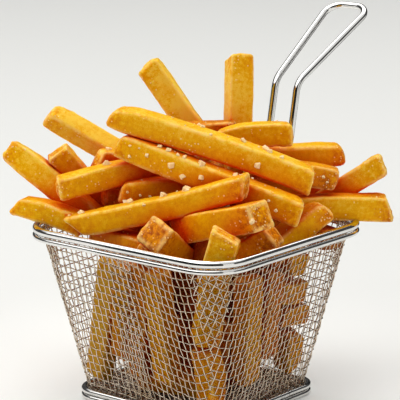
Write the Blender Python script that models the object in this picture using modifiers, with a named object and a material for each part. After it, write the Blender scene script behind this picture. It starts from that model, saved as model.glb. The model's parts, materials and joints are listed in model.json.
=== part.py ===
"""French fries heaped in a small chrome wire-mesh serving basket with a wire-loop handle.

Metres, +Z up. The handle is on the +Y side. The model is first built round the centre of the
basket's base, then moved so that the origin is the bottom centre of the whole object's box.
"""
import math

import bmesh
import bpy
from mathutils import Matrix, Vector

MM = 0.001
GAP = 0.3 * MM                    # air left between pieces that touch

# Rim: two stacked wires round the mouth, their outer sides in line
RIM_X = 105.0 * MM                # upper wire, centre line to centre line
RIM_Y = 102.0 * MM
RIM_CORNER = 16.5 * MM            # corner radius of that centre line
RIM_SEAM_Z = 71.5 * MM            # height of the seam between the two wires
RIM_UPPER_WIRE = 3.2 * MM
RIM_LOWER_WIRE = 2.2 * MM

# Base: two stacked wires round the foot
BASE_X = 74.0 * MM
BASE_Y = 71.0 * MM
BASE_CORNER = 9.5 * MM
BASE_WIRE = 2.4 * MM

# Woven mesh, as a thin skin that the rim and the base hold
MESH_SKIN = 1.0 * MM
MESH_TOP_Z = 73.0 * MM
MESH_FOOT_Z = 3.0 * MM
MESH_KNEE_Z = 5.6 * MM            # the wall stands upright inside the base up to here
MESH_TOP_CORNER = 14.5 * MM
MESH_FOOT_CORNER = 8.0 * MM

# Handle: one wire bent to a loop that widens towards its end
HANDLE_WIRE = 3.0 * MM
HANDLE_X = -3.0 * MM
LEG_SPAN = 11.7 * MM              # between the centre lines of the two legs
LOOP_SPAN = 22.0 * MM             # the same at the end of the loop
LEG_FOOT_Z = 2.2 * MM
LEG_LEAN = math.radians(11.5)     # above the rim
LEG_BEND_Z = 124.3 * MM
ARM_RISE = math.radians(30.4)
ARM_LENGTH = 54.3 * MM
LEG_BEND_RADIUS = 9.0 * MM
LOOP_END_RADIUS = 7.0 * MM

# Fries: square-cut sticks with worn edges
FRY_EDGE = 1.3 * MM
FRY_SEGMENTS = 3
# Each line holds a name, the stick's two ends (mm from the centre of the base), its width and
# thickness (mm), its roll (degrees) and the rise of its middle over a straight stick (mm).
FRIES = (
    ("steep_back_left", (-41.5, 18, 133.5), (-17, 32, 94), 9.6, 9.6, 30, 0),
    ("long_top", (-26, -23, 119.5), (46, 17, 95), 9.6, 9.4, 22, 1.8),
    ("long_second", (-23, -22, 108), (50, 6, 84), 9.8, 9.8, 12, 0.5),
    ("long_front", (-31.6, -41.7, 76), (35.5, -12.2, 97), 9.6, 9.6, 0, -0.8),
    ("left_upper", (-40.9, -39.6, 89.4), (-13, 0, 99), 9.6, 9.4, 0, 0.5),
    ("left_far_out", (-71.5, -36, 101.5), (-32, -21, 70), 10.2, 10.6, 0, 0.5),
    ("left_back", (-71, -12, 113), (-34, 13, 86.5), 9.2, 9.2, 18, 0),
    ("left_end_on", (-53.6, -26.4, 101.6), (-41, -9, 76), 9.6, 9.4, 10, 0),
    ("left_tucked", (-40, -17, 98), (-26, 10, 91), 10.4, 10.2, 0, 0),
    ("left_on_rim", (-59.5, -44.8, 81), (-33, -33.5, 74.3), 9.6, 8.6, 0, 0.8),
    ("left_inner", (-34, -20, 84), (-12, -2, 86.5), 9.4, 9.0, 0, 0),
    ("blistered", (-22, -23, 87), (4, 4, 90), 9.6, 9.0, 0, 0.5),
    ("upright_back", (-10, 41, 137), (-7, 33, 61), 10.2, 9.4, 50, 0),
    ("right_top", (-16, 8, 104), (26, 30, 110), 9.6, 9.6, 0, 1.0),
    ("right_back", (32, 59, 98), (3, 28, 97), 9.6, 9.4, 0, 0),
    ("right_dark", (14, 17, 98), (41, 42, 91), 9.4, 9.6, 0, 0),
    ("right_raised", (54, 57, 97), (17, 42, 69), 9.6, 8.8, 20, 0),
    ("right_on_rim", (57.3, 57.4, 78.7), (25, 27, 78.7), 9.6, 10.2, 0, 0),
    ("right_round_end", (48, 25, 83), (35, 0, 64), 11.5, 9.6, 0, 0),
    ("front_block_end", (49, -20, 88), (6.8, -18.5, 75.9), 12.4, 11.4, 0, 0),
    ("front_left_end", (12.3, -41.5, 79), (5, -9, 60), 12.6, 11.2, 27, 0),
    ("front_upright", (45, -36.8, 83), (22.5, -32.5, 31), 10.2, 11.6, -42, 0),
    ("front_right_end", (47.5, -9.1, 78), (25, -19, 63), 10.2, 9.8, 0, 0),
    ("top_tucked", (-26, 10, 106), (-4, 29, 107.5), 9.0, 9.0, 0, 0),
    ("back_over_side", (-62, 24, 81), (-14, 16, 81), 9.6, 9.4, 10, 0.5),
    ("back_over_rear", (-37, 62, 88), (-31, 26, 91), 9.6, 9.4, 0, 0),
    ("back_by_handle", (22, 58, 83), (5, 27, 86), 9.4, 9.4, 0, 0),
    ("back_low", (-47, 41, 79), (-16, 42, 79), 9.4, 9.4, 0, 0),
    ("back_corner", (-67, 37, 92), (-41, 20, 89), 9.6, 9.0, 15, 0),
    ("back_rising", (-58, 49, 98), (-34, 35, 80), 9.4, 9.0, 0, 0),
    ("back_crossing", (-30, 48, 99), (12, 48, 83), 9.4, 9.2, 0, 0.5),
)
# Body of the heap under the sticks: height, centre y, half length along x and y, in mm
MOUND_LEVELS = (
    (84.0, 6.0, 38.0, 33.0),
    (92.0, 11.0, 30.0, 25.0),
    (100.5, 13.5, 25.0, 19.0),
    (104.0, 19.0, 12.0, 9.0),
)
CORNER_STEPS = 5

CHROME = ((0.62, 0.61, 0.60, 1.0), 0.18, 1.0)
MESH_STEEL = ((0.52, 0.50, 0.48, 1.0), 0.30, 1.0)
FRIED_POTATO = ((0.86, 0.50, 0.06, 1.0), 0.42, 0.0)


def clear_scene():
    """Remove every object that the file opened with."""
    for old in list(bpy.data.objects):
        bpy.data.objects.remove(old, do_unlink=True)


def make_collection(name):
    """Add a collection to the scene."""
    made = bpy.data.collections.new(name)
    bpy.context.scene.collection.children.link(made)
    return made


def make_material(name, look):
    """Make a plain Principled material from a colour, a roughness and a metallic value."""
    colour, roughness, metallic = look
    material = bpy.data.materials.new(name)
    material.use_nodes = True
    shader = material.node_tree.nodes["Principled BSDF"]
    shader.inputs["Base Color"].default_value = colour
    shader.inputs["Roughness"].default_value = roughness
    shader.inputs["Metallic"].default_value = metallic
    material.diffuse_color = colour
    return material


def rounded_rectangle(half_x, half_y, radius, z, centre_y=0.0):
    """Points of a rectangle with round corners, counter-clockwise seen from above."""
    points = []
    for sign_x, sign_y, start in ((1, 1, 0), (-1, 1, 90), (-1, -1, 180), (1, -1, 270)):
        for step in range(CORNER_STEPS + 1):
            angle = math.radians(start + 90.0 * step / CORNER_STEPS)
            x = sign_x * (half_x - radius) + radius * math.cos(angle)
            y = sign_y * (half_y - radius) + radius * math.sin(angle)
            points.append(Vector((x, y + centre_y, z)))
    return points


def wire_object(name, points, diameter, closed, tilt, material, collection):
    """Sweep a round wire along points."""
    curve = bpy.data.curves.new(name, "CURVE")
    curve.dimensions = "3D"
    curve.bevel_depth = diameter / 2
    curve.bevel_resolution = 2
    curve.use_fill_caps = not closed
    spline = curve.splines.new("POLY")
    spline.points.add(len(points) - 1)
    for knot, point in zip(spline.points, points):
        knot.co = (*point, 1.0)
        knot.tilt = tilt
    spline.use_cyclic_u = closed
    spline.use_smooth = True
    curve.materials.append(material)
    made = bpy.data.objects.new(name, curve)
    collection.objects.link(made)
    return made


def build_rim(material, collection):
    """The two wires round the mouth."""
    upper_z = RIM_SEAM_Z + (RIM_UPPER_WIRE + GAP) / 2
    upper = rounded_rectangle(RIM_X / 2, RIM_Y / 2, RIM_CORNER, upper_z)
    wire_object("rim_upper_wire", upper, RIM_UPPER_WIRE, True, 0.0, material, collection)
    out = (RIM_UPPER_WIRE - RIM_LOWER_WIRE) / 2
    lower_z = RIM_SEAM_Z - (RIM_LOWER_WIRE + GAP) / 2
    lower = rounded_rectangle(RIM_X / 2 + out, RIM_Y / 2 + out, RIM_CORNER + out, lower_z)
    wire_object("rim_lower_wire", lower, RIM_LOWER_WIRE, True, 0.0, material, collection)


def build_base(material, collection):
    """The two wires round the foot, turned so that a flat of the lower one is underneath."""
    eighth = math.pi / 8
    flat_height = BASE_WIRE * math.cos(eighth)
    lower_z = flat_height / 2
    upper_z = lower_z + flat_height + GAP
    for name, z in (("base_lower_wire", lower_z), ("base_upper_wire", upper_z)):
        ring = rounded_rectangle(BASE_X / 2, BASE_Y / 2, BASE_CORNER, z)
        wire_object(name, ring, BASE_WIRE, True, eighth, material, collection)


def rounded_path(corners):
    """A path through (point, radius) corners, each turned by an arc of its radius."""
    points = [corners[0][0]]
    for before, (corner, radius), after in zip(corners, corners[1:], corners[2:]):
        back = (before[0] - corner).normalized()
        ahead = (after[0] - corner).normalized()
        half_angle = back.angle(ahead) / 2
        reach = radius / math.tan(half_angle)
        middle = corner + (back + ahead).normalized() * (radius / math.sin(half_angle))
        first = corner + back * reach - middle
        last = corner + ahead * reach - middle
        for step in range(CORNER_STEPS + 1):
            spoke = first.lerp(last, step / CORNER_STEPS).normalized()
            points.append(middle + spoke * radius)
    points.append(corners[-1][0])
    return points


def build_handle(material, collection):
    """The wire loop, whose legs run down the outside of the +Y wall to the base."""
    rim_out = RIM_Y / 2 + RIM_UPPER_WIRE / 2 + GAP + HANDLE_WIRE / 2
    foot_out = BASE_Y / 2 + BASE_WIRE / 2 + GAP + HANDLE_WIRE / 2
    bend_out = rim_out + (LEG_BEND_Z - RIM_SEAM_Z) * math.tan(LEG_LEAN)
    loop_out = bend_out + ARM_LENGTH * math.cos(ARM_RISE)
    loop_z = LEG_BEND_Z + ARM_LENGTH * math.sin(ARM_RISE)
    left = []
    for half, out, z, radius in (
            (LEG_SPAN / 2, foot_out, LEG_FOOT_Z, 0.0),
            (LEG_SPAN / 2, rim_out, RIM_SEAM_Z, 60 * MM),
            (LEG_SPAN / 2, bend_out, LEG_BEND_Z, LEG_BEND_RADIUS),
            (LOOP_SPAN / 2, loop_out, loop_z, LOOP_END_RADIUS)):
        left.append((Vector((HANDLE_X - half, out, z)), radius))
    right = []
    for point, radius in reversed(left):
        right.append((Vector((2 * HANDLE_X - point.x, point.y, point.z)), radius))
    path = rounded_path(left + right)
    wire_object("handle_wire", path, HANDLE_WIRE, False, 0.0, material, collection)


def wall_half_sizes(z, inset):
    """Half lengths and corner radius of the mesh's outer face at a height, less an inset."""
    top_x = RIM_X / 2 - RIM_UPPER_WIRE / 2 - 1.5 * GAP
    top_y = RIM_Y / 2 - RIM_UPPER_WIRE / 2 - 1.5 * GAP
    foot_x = BASE_X / 2 - BASE_WIRE / 2 - GAP
    foot_y = BASE_Y / 2 - BASE_WIRE / 2 - GAP
    share = max(0.0, (z - MESH_KNEE_Z) / (MESH_TOP_Z - MESH_KNEE_Z))
    half_x = foot_x + (top_x - foot_x) * share - inset
    half_y = foot_y + (top_y - foot_y) * share - inset
    radius = MESH_FOOT_CORNER + (MESH_TOP_CORNER - MESH_FOOT_CORNER) * share - inset
    return half_x, half_y, radius


def loft(rings, close_foot, close_top):
    """Join rings of equally many points with walls, and close the ends asked for."""
    mesh = bmesh.new()
    rows = []
    for ring in rings:
        rows.append([mesh.verts.new(point) for point in ring])
    for low, high in zip(rows, rows[1:]):
        for index, corner in enumerate(low):
            following = (index + 1) % len(low)
            mesh.faces.new((corner, low[following], high[following], high[index]))
    if close_foot:
        mesh.faces.new(list(reversed(rows[0])))
    if close_top:
        mesh.faces.new(rows[-1])
    return mesh


def mesh_object(name, mesh, material, collection):
    """Turn a bmesh into a named object."""
    data = bpy.data.meshes.new(name)
    mesh.to_mesh(data)
    mesh.free()
    data.materials.append(material)
    made = bpy.data.objects.new(name, data)
    collection.objects.link(made)
    return made


def build_mesh_basket(material, collection):
    """The woven basket as a thin open shell: four sloping walls and a floor."""
    rings = []
    for z in (MESH_FOOT_Z, MESH_KNEE_Z, MESH_TOP_Z):
        rings.append(rounded_rectangle(*wall_half_sizes(z, 0.0), z))
    basket = mesh_object("mesh_basket", loft(rings, True, False), material, collection)
    skin = basket.modifiers.new("skin", "SOLIDIFY")
    skin.thickness = MESH_SKIN
    skin.offset = -1.0
    skin.use_even_offset = True


def fry_stick(length, width, thickness, arch):
    """A stick along X with worn edges, its middle raised by the arch."""
    mesh = bmesh.new()
    bmesh.ops.create_cube(mesh, size=1.0)
    bmesh.ops.scale(mesh, vec=(length, width, thickness), verts=mesh.verts)
    bmesh.ops.bevel(mesh, geom=list(mesh.edges), offset=FRY_EDGE, segments=1,
                    affect="EDGES", profile=0.5)
    for cut in range(1, FRY_SEGMENTS):
        place = length * (cut / FRY_SEGMENTS - 0.5)
        everything = list(mesh.verts) + list(mesh.edges) + list(mesh.faces)
        bmesh.ops.bisect_plane(mesh, geom=everything, plane_co=(place, 0, 0),
                               plane_no=(1, 0, 0))
    for vert in mesh.verts:
        along = 2 * vert.co.x / length
        vert.co.z += arch * (1 - along * along)
    return mesh


def stick_frame(start, end, roll):
    """The placement of a stick between two ends, turned about its own length."""
    along = (end - start).normalized()
    side = Vector((0, 0, 1)).cross(along).normalized()
    rise = along.cross(side)
    turn = Matrix.Rotation(math.radians(roll), 3, along)
    axes = Matrix((along, turn @ side, turn @ rise)).transposed()
    return Matrix.Translation((start + end) / 2) @ axes.to_4x4()


def build_fry(line, material, collection):
    """One stick of the heap, as a solid to be joined to it."""
    name, start, end, width, thickness, roll, arch = line
    start = Vector(start) * MM
    end = Vector(end) * MM
    mesh = fry_stick((end - start).length, width * MM, thickness * MM, arch * MM)
    bmesh.ops.transform(mesh, matrix=stick_frame(start, end, roll), verts=mesh.verts)
    return mesh_object("stick_" + name, mesh, material, collection)


def build_heap_body(material, collection):
    """The inside of the heap: what fills the basket, and the mound over it."""
    rings = []
    inset = MESH_SKIN + GAP
    for z in (MESH_FOOT_Z + MESH_SKIN + GAP, MESH_KNEE_Z, RIM_SEAM_Z):
        rings.append(rounded_rectangle(*wall_half_sizes(z, inset), z))
    for z, centre_y, half_x, half_y in MOUND_LEVELS:
        radius = 0.8 * half_y
        rings.append(rounded_rectangle(half_x * MM, half_y * MM, radius * MM, z * MM,
                                       centre_y * MM))
    return mesh_object("fries_heap", loft(rings, True, True), material, collection)


def build_keep_out(material, collection):
    """A collar that holds the heap clear of the mesh and the rim wires."""
    far = 120 * MM
    rim_top = RIM_SEAM_Z + RIM_UPPER_WIRE + 1.5 * GAP
    rim_inner = RIM_UPPER_WIRE / 2 + GAP
    inset = MESH_SKIN + GAP
    rings = [rounded_rectangle(far, far, RIM_CORNER, rim_top)]
    rings.append(rounded_rectangle(RIM_X / 2 - rim_inner, RIM_Y / 2 - rim_inner,
                                   RIM_CORNER - rim_inner, rim_top))
    for z in (MESH_TOP_Z + GAP, MESH_KNEE_Z):
        rings.append(rounded_rectangle(*wall_half_sizes(z, inset), z))
    rings.append(rounded_rectangle(*wall_half_sizes(0.0, inset), 0.0))
    rings.append(rounded_rectangle(far, far, RIM_CORNER, 0.0))
    mesh = loft(rings + [rings[0]], False, False)
    bmesh.ops.remove_doubles(mesh, verts=mesh.verts, dist=0.01 * MM)
    bmesh.ops.recalc_face_normals(mesh, faces=mesh.faces)
    return mesh_object("keep_out", mesh, material, collection)


def add_boolean(target, name, operation, operand, is_collection):
    """Cut or join with the exact solver."""
    modifier = target.modifiers.new(name, "BOOLEAN")
    modifier.operation = operation
    modifier.solver = "EXACT"
    if is_collection:
        modifier.operand_type = "COLLECTION"
        modifier.collection = operand
        modifier.use_self = True
    else:
        modifier.object = operand


def hide_tool(tool):
    """Mark an object as a tool that isn't part of the model."""
    tool.hide_render = True
    tool.display_type = "WIRE"


def build_heap(material, collection, sticks, cutters):
    """Join the sticks to the heap's body and trim it clear of the basket."""
    heap = build_heap_body(material, collection)
    for line in FRIES:
        hide_tool(build_fry(line, material, sticks))
    keep_out = build_keep_out(material, cutters)
    hide_tool(keep_out)
    add_boolean(heap, "join_sticks", "UNION", sticks, True)
    add_boolean(heap, "clear_of_basket", "DIFFERENCE", keep_out, False)


def shade_round_pieces(collection):
    """Shade the mesh pieces smooth between sharp edges."""
    for piece in collection.objects:
        if piece.type == "MESH":
            piece.data.shade_smooth()
            piece.data.set_sharp_from_angle(angle=math.radians(35))


def centre_on_box(collections):
    """Move everything so that the origin is the bottom centre of the object's box."""
    bpy.context.view_layer.update()
    depsgraph = bpy.context.evaluated_depsgraph_get()
    low = Vector((math.inf, math.inf, math.inf))
    high = -low
    for piece in collections[0].objects:
        evaluated = piece.evaluated_get(depsgraph)
        mesh = evaluated.to_mesh()
        for vert in mesh.vertices:
            for axis in range(3):
                low[axis] = min(low[axis], vert.co[axis])
                high[axis] = max(high[axis], vert.co[axis])
        evaluated.to_mesh_clear()
    shift = Vector(((low.x + high.x) / 2, (low.y + high.y) / 2, low.z))
    for group in collections:
        for piece in group.objects:
            piece.location = -shift


def main():
    """Build the whole object."""
    clear_scene()
    model = make_collection("fries_in_mesh_basket")
    sticks = make_collection("heap_sticks")
    cutters = make_collection("cutters")
    chrome = make_material("chrome_wire", CHROME)
    steel = make_material("mesh_steel", MESH_STEEL)
    potato = make_material("fried_potato", FRIED_POTATO)
    build_rim(chrome, model)
    build_base(chrome, model)
    build_handle(chrome, model)
    build_mesh_basket(steel, model)
    build_heap(potato, model, sticks, cutters)
    shade_round_pieces(model)
    centre_on_box((model, sticks, cutters))


main()
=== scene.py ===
"""French fries heaped in a small woven-wire serving basket.

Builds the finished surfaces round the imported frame: round chrome wires, the woven steel mesh,
every fry of the heap, the fries packed inside the basket and the salt on top. Work is in metres,
+Z up, with the handle on the +Y side.
"""
import json
import math

import bmesh
import bpy
import numpy as np
from mathutils import Matrix, Vector, noise

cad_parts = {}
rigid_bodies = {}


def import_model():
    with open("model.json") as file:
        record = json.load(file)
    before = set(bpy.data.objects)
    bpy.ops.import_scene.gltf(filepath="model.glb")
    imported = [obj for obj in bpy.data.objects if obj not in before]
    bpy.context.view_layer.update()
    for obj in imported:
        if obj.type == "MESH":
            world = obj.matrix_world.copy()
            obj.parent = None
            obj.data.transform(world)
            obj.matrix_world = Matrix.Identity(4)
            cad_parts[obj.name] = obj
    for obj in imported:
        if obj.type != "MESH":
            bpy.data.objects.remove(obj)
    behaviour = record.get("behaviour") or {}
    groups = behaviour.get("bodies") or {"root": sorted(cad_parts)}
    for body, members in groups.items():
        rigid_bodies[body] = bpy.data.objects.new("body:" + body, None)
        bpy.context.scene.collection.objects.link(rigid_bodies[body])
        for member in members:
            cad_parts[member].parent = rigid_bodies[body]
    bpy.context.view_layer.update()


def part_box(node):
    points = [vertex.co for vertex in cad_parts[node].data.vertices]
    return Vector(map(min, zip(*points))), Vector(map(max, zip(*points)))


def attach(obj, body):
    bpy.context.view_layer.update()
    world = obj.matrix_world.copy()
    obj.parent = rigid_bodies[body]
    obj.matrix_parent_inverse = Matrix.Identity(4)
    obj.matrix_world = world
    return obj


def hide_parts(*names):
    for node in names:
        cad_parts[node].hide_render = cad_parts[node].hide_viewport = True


bl_info = {
    "name": "Basket of Fries",
    "version": (1, 0, 0),
    "blender": (4, 5, 0),
    "location": "View3D > Sidebar > Fries",
    "description": "Woven-wire serving basket heaped with salted french fries",
    "category": "Add Mesh",
}

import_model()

MM = 0.001
BODY = "root"
BASE_LOW, BASE_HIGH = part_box("base_lower_wire")
# The middle of the foot, on the floor: the layout below is measured from here
FOOT = Vector(((BASE_LOW.x + BASE_HIGH.x) / 2, (BASE_LOW.y + BASE_HIGH.y) / 2, BASE_LOW.z))

# Space between wires that touch, the height where the rim's two wires meet, and the rim and base
# between the middles of their wires
GAP = 0.3 * MM
RIM_SEAM_Z = 71.5 * MM
RIM_SIZE = (105.0 * MM, 102.0 * MM)
RIM_CORNER = 16.5 * MM
BASE_SIZE = (74.0 * MM, 71.0 * MM)
BASE_CORNER = 9.5 * MM
BASE_LOWER_Z = 1.2 * MM
BASE_UPPER_Z = 3.75 * MM

# The handle: two legs that lean outward, two arms that rise from their bends, and a short end
HANDLE_X = -3.0 * MM
LEG_SPAN = 11.7 * MM
LOOP_SPAN = 22.0 * MM
LEG_FOOT_Z = 2.3 * MM
LEG_LEAN = math.radians(11.5)
LEG_BEND_Z = 124.3 * MM
ARM_RISE = math.radians(30.4)
ARM_LENGTH = 54.3 * MM
LEG_SWEEP_RADIUS = 60.0 * MM
LEG_BEND_RADIUS = 9.0 * MM
LOOP_END_RADIUS = 7.0 * MM
# How far the outer faces of the upper rim and of the base are from the middles of their wires
RIM_FACE = 1.6 * MM
BASE_FACE = 1.2 * MM

# The mesh's outer face: half lengths and corner radius at the knee, and their growth with height
KNEE_Z = 5.6 * MM
MESH_TOP_Z = 73.3 * MM
MESH_FOOT_Z = 3.1 * MM
FOOT_HALF = (35.5 * MM, 34.0 * MM)
WALL_FLARE = 0.2218
FOOT_RADIUS = 8.0 * MM
RADIUS_FLARE = 0.09644
CONE_STEPS = 48

# What brown oil leaves of the mesh's colour
OILY_SHADE = (0.86, 0.76, 0.62)
# Directions looked in from each point of a fry to see how far the others wall it in, which sets its
# painted shade
PAINTED_SHADE_RAYS = 24

# Plan directions from the middle: towards the near corner, and across from it to the right
NEAR_WAY = (0.632, -0.775)
SIDE_WAY = (0.775, 0.632)

# Ends of a fry: how far a slant or taper reaches, how far browning and the pale line round the
# end reach (partly worn crust, partly painted highlight), the line of firm crust beside the
# rounding, and the sizes of the rings that close it
END_REACH = 11 * MM
TIP_REACH = 9 * MM
WORN_AND_HIGHLIGHT_REACH = 0.7 * MM
CRUST = 0.35 * MM
END_SHARES = (0.0, 0.35, 0.68, 0.93)

# Fries packed at random: how far a layer's middle is from the mesh, and the lengths tried, in mm
LAYER_INSETS = (6.6, 16.4, 26.2, 36.0)
LAYER_LENGTHS = ((52, 70), (38, 50), (26, 36), (17, 24))
MOUND_LENGTHS = ((40, 60), (28, 38), (18, 26))
# Room for them: their heights, their distance from the mesh, and how far they go towards the near
# corner when they are higher than NEAR_HEIGHT
PACKED_LOW, PACKED_HIGH = 5.0 * MM, 82.0 * MM
PACKED_ROOM = 1.9 * MM
NEAR_LIMIT = 26 * MM
NEAR_HEIGHT = 70 * MM
# Below AIRY_HEIGHT the side corners stay empty past these distances, the left one further out with
# height, and so does the floor past the last two, each below its height
AIRY_HEIGHT = 62 * MM
LEFT_LIMIT, RIGHT_LIMIT = -41 * MM, 38 * MM
LEFT_FLOOR, RIGHT_FLOOR = (-30 * MM, 19 * MM), (23 * MM, 20 * MM)
# The mound above the rim: its foot, its height, and its half widths at the foot in mm
MOUND_FOOT = 74 * MM
MOUND_HEIGHT = 28 * MM
MOUND_HALF = (44, 42)

# The mesh's panels: wall, inset of its middle in mm, its two sides, shift of its wires in mm,
# their drift, and how its cross wires rise (distance along the wall and height, in mm). A side is
# ("corner", overlap at the rim, height where the overlap ends) or ("cut", distance along the wall)
OVERLAPPED = ("corner", 12 * MM, 34 * MM)
TUCKED = ("corner", 3 * MM, 50 * MM)
PANELS = (
    (0, 0.4, OVERLAPPED, ("cut", 4 * MM), 0.0, 0.10,
     ((-60, 3.0), (-30, 1.5), (-8, 0.0), (4, -2.5), (16, -5.0))),
    (0, 1.1, ("cut", -9 * MM), OVERLAPPED, 0.9, 0.15,
     ((-12, 0.5), (0, -1.0), (10, -4.0), (20, -7.0), (28, -8.0), (38, -5.0), (60, 4.0))),
    (1, 0.4, OVERLAPPED, OVERLAPPED, 0.4, -0.12,
     ((-60, 4.0), (-38, -4.5), (-25, -6.5), (-15, -4.5), (0, 1.0), (12, 3.0), (60, 2.0))),
    (2, 1.1, TUCKED, OVERLAPPED, 1.3, 0.08, ((-60, -2.0), (-20, 0.0), (10, 4.0), (60, 5.0))),
    (3, 0.4, OVERLAPPED, OVERLAPPED, 0.8, -0.06,
     ((-60, 3.0), (-20, 2.0), (10, -3.0), (60, -4.0))),
)

# Lights: name, offsets to the right, nearer and up, size, which setting gives its power and what
# share of it, and whether wires mirror it
LIGHTS = (
    ("key", (-0.60, 0.30, 1.30), (1.7, 1.7), "key_power", 1.0, True),
    ("back", (0.20, -0.90, 1.50), (1.8, 1.2), "key_power", 0.95, True),
    ("left_side", (-1.25, 0.10, 0.22), (0.9, 1.0), "fill_power", 1.0, False),
    ("right_side", (1.25, 0.60, 0.60), (0.8, 1.0), "fill_power", 0.8, False),
    ("panel", (1.02, 1.14, 0.30), (0.75, 0.9), "fill_power", 0.26, True),
)
# Dark cards that only the bright wires mirror: name, where each starts and stops in degrees to
# the right of the camera, their distance from the middle and their heights
CARDS = (("front_card", -75, 24), ("rear_card", 132, 170))
CARD_DISTANCE = 0.34
CARD_HEIGHTS = (0.002, 0.33)

# The heap's fries: name, two ends (mm from the foot's middle), width, thickness, roll, arch,
# tone (0 pale to 1 brown) and how each end is cut: slant across, slant in rise, taper, roundness
# in mm. None leaves a cut to chance.
HEAP_FRIES = (
    ("steep_back_left", (-41.5, 18, 133.5), (-17, 32, 94), 9.6, 10.4, -8, 0, 0.06,
     (0.1, -0.15, 0.05, 1.6), None),
    ("long_top", (-26, -23, 119.5), (46, 17, 95), 9.6, 10.6, 3, 1.8, 0.27,
     (0.2, 0.35, 0.3, 2.6), (-0.25, -0.05, 0.0, 1.2)),
    ("long_second", (-23, -22, 108), (49, 6, 84.3), 9.8, 10.8, -2, 0.5, 0.33,
     (0.1, 0.15, 0.15, 2.8), (-0.38, 0.0, 0.0, 1.4)),
    ("long_front", (-31.6, -41.7, 76), (35.5, -12.2, 97), 9.6, 9.6, 0, -0.8, 0.38,
     (-0.3, -0.8, 0.1, 2.0), (0.05, 0.4, 0.0, 1.2)),
    ("left_upper", (-40.9, -39.6, 89.4), (-13, 0, 99), 9.6, 9.4, 0, 0.5, 0.30,
     (0.1, 0.1, 0.05, 1.2), None),
    ("left_far_out", (-71.5, -36, 101.5), (-32, -21, 70), 10.2, 10.8, -12, 0.5, 0.18,
     (0.15, -0.1, 0.2, 1.8), None),
    ("left_back", (-71, -12, 113), (-34, 13, 86.5), 9.4, 9.2, 36, 0, 0.16,
     (0.1, 0.1, 0.1, 1.6), None),
    ("left_end_on", (-53.6, -26.4, 101.6), (-41, -9, 76), 9.6, 9.4, 10, 0, 0.26,
     (0.1, 0.1, 0.0, 1.0), None),
    ("left_tucked", (-40, -17, 98), (-26, 10, 91), 10.4, 10.2, 0, 0, 0.30,
     (0.1, 0.3, 0.1, 1.2), None),
    ("left_on_rim", (-59.5, -44.8, 81), (-33, -33.5, 74.3), 9.6, 8.6, 0, 0.8, 0.28,
     (0.1, 0.45, 0.1, 1.8), None),
    ("left_inner", (-34, -20, 84), (-12, -2, 86.5), 9.4, 9.0, 0, 0, 0.50, None, None),
    ("left_under", (-31, -28, 71), (0, -31, 69), 9.4, 9.0, 0, 0, 0.55, None, None),
    ("blistered", (-22, -23, 87), (4, 4, 90), 9.6, 9.0, 0, 0.5, 0.42,
     (0.1, 0.35, 0.1, 2.4), None),
    ("upright_back", (-10, 41, 137), (-7, 33, 61), 10.4, 10.2, 57, 0, 0.12,
     (-0.45, 0.0, 0.04, 1.3), None),
    ("right_top", (-1, 15.9, 106.1), (26, 30, 110), 9.6, 9.6, 0, 1.0, 0.28,
     None, (-0.35, 0.1, 0.0, 1.6)),
    ("right_back", (32, 59, 98), (3, 28, 97), 9.6, 9.4, 0, 0, 0.34,
     (0.0, 0.25, 0.1, 2.6), None),
    ("right_dark", (14, 17, 98), (41, 42, 91), 9.4, 9.6, 0, 0, 0.56, None, (0.1, 0.1, 0.1, 1.6)),
    ("right_raised", (54, 57, 97), (17, 42, 69), 9.6, 9.4, 3, 0, 0.20,
     (-0.22, -0.2, 0.0, 1.8), None),
    ("right_on_rim", (57.3, 57.4, 78.7), (25, 27, 78.7), 9.6, 10.2, 0, 0, 0.26,
     (0.1, 0.35, 0.0, 1.2), None),
    ("right_under", (43, 38, 66), (20, 45, 66), 9.4, 9.0, 0, 0, 0.70, None, None),
    ("right_round_end", (48, 25, 83), (35, 0, 64), 11.5, 9.6, 0, 0, 0.42,
     (0.1, 0.2, 0.12, 3.2), None),
    ("front_block_end", (49, -20, 88), (6.8, -18.5, 75.9), 12.4, 11.4, 0, 0, 0.48,
     (0.05, 0.1, 0.0, 0.8), None),
    ("front_left_end", (12.3, -41.5, 79), (5, -9, 60), 12.8, 11.4, 27, 0, 0.58,
     (0.05, 0.05, 0.0, 0.8), None),
    ("front_small_end", (5, -41.5, 71), (8, -28, 64), 8.6, 8.0, 0, 0, 0.55,
     (0.1, 0.1, 0.1, 1.2), None),
    ("front_upright", (45, -36.8, 83), (36.3, -35.1, 63), 10.2, 11.6, -42, 0, 0.26,
     (-0.3, -0.2, 0.0, 0.9), None),
    ("front_right_end", (47.5, -9.1, 78), (25, -19, 63), 10.2, 9.8, 0, 0, 0.58,
     (0.1, 0.15, 0.0, 0.9), None),
    ("top_tucked", (-23, 8, 106.3), (-2, 28, 108.2), 9.0, 9.0, 0, 0, 0.80, None,
     (0.1, 0.2, 0.1, 1.8)),
    ("back_over_side", (-62, 24, 81), (-14, 16, 81), 9.6, 9.4, 10, 0.5, 0.30, None, None),
    ("back_over_rear", (-37, 62, 88), (-31, 26, 91), 9.6, 9.4, 0, 0, 0.24, None, None),
    ("back_by_handle", (22, 58, 83), (5, 27, 86), 9.4, 9.4, 0, 0, 0.34, None, None),
    ("back_low", (-47, 41, 79), (-16, 42, 79), 9.4, 9.4, 0, 0, 0.46, None, None),
    ("back_corner", (-67, 37, 92), (-41, 20, 89), 9.6, 9.0, 15, 0, 0.26, None, None),
    ("back_rising", (-58, 49, 98), (-34, 35, 80), 9.4, 9.0, 0, 0, 0.20, None, None),
    ("back_crossing", (-30, 48, 99), (12, 48, 83), 9.4, 9.2, 0, 0.5, 0.32, None, None),
)
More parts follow.
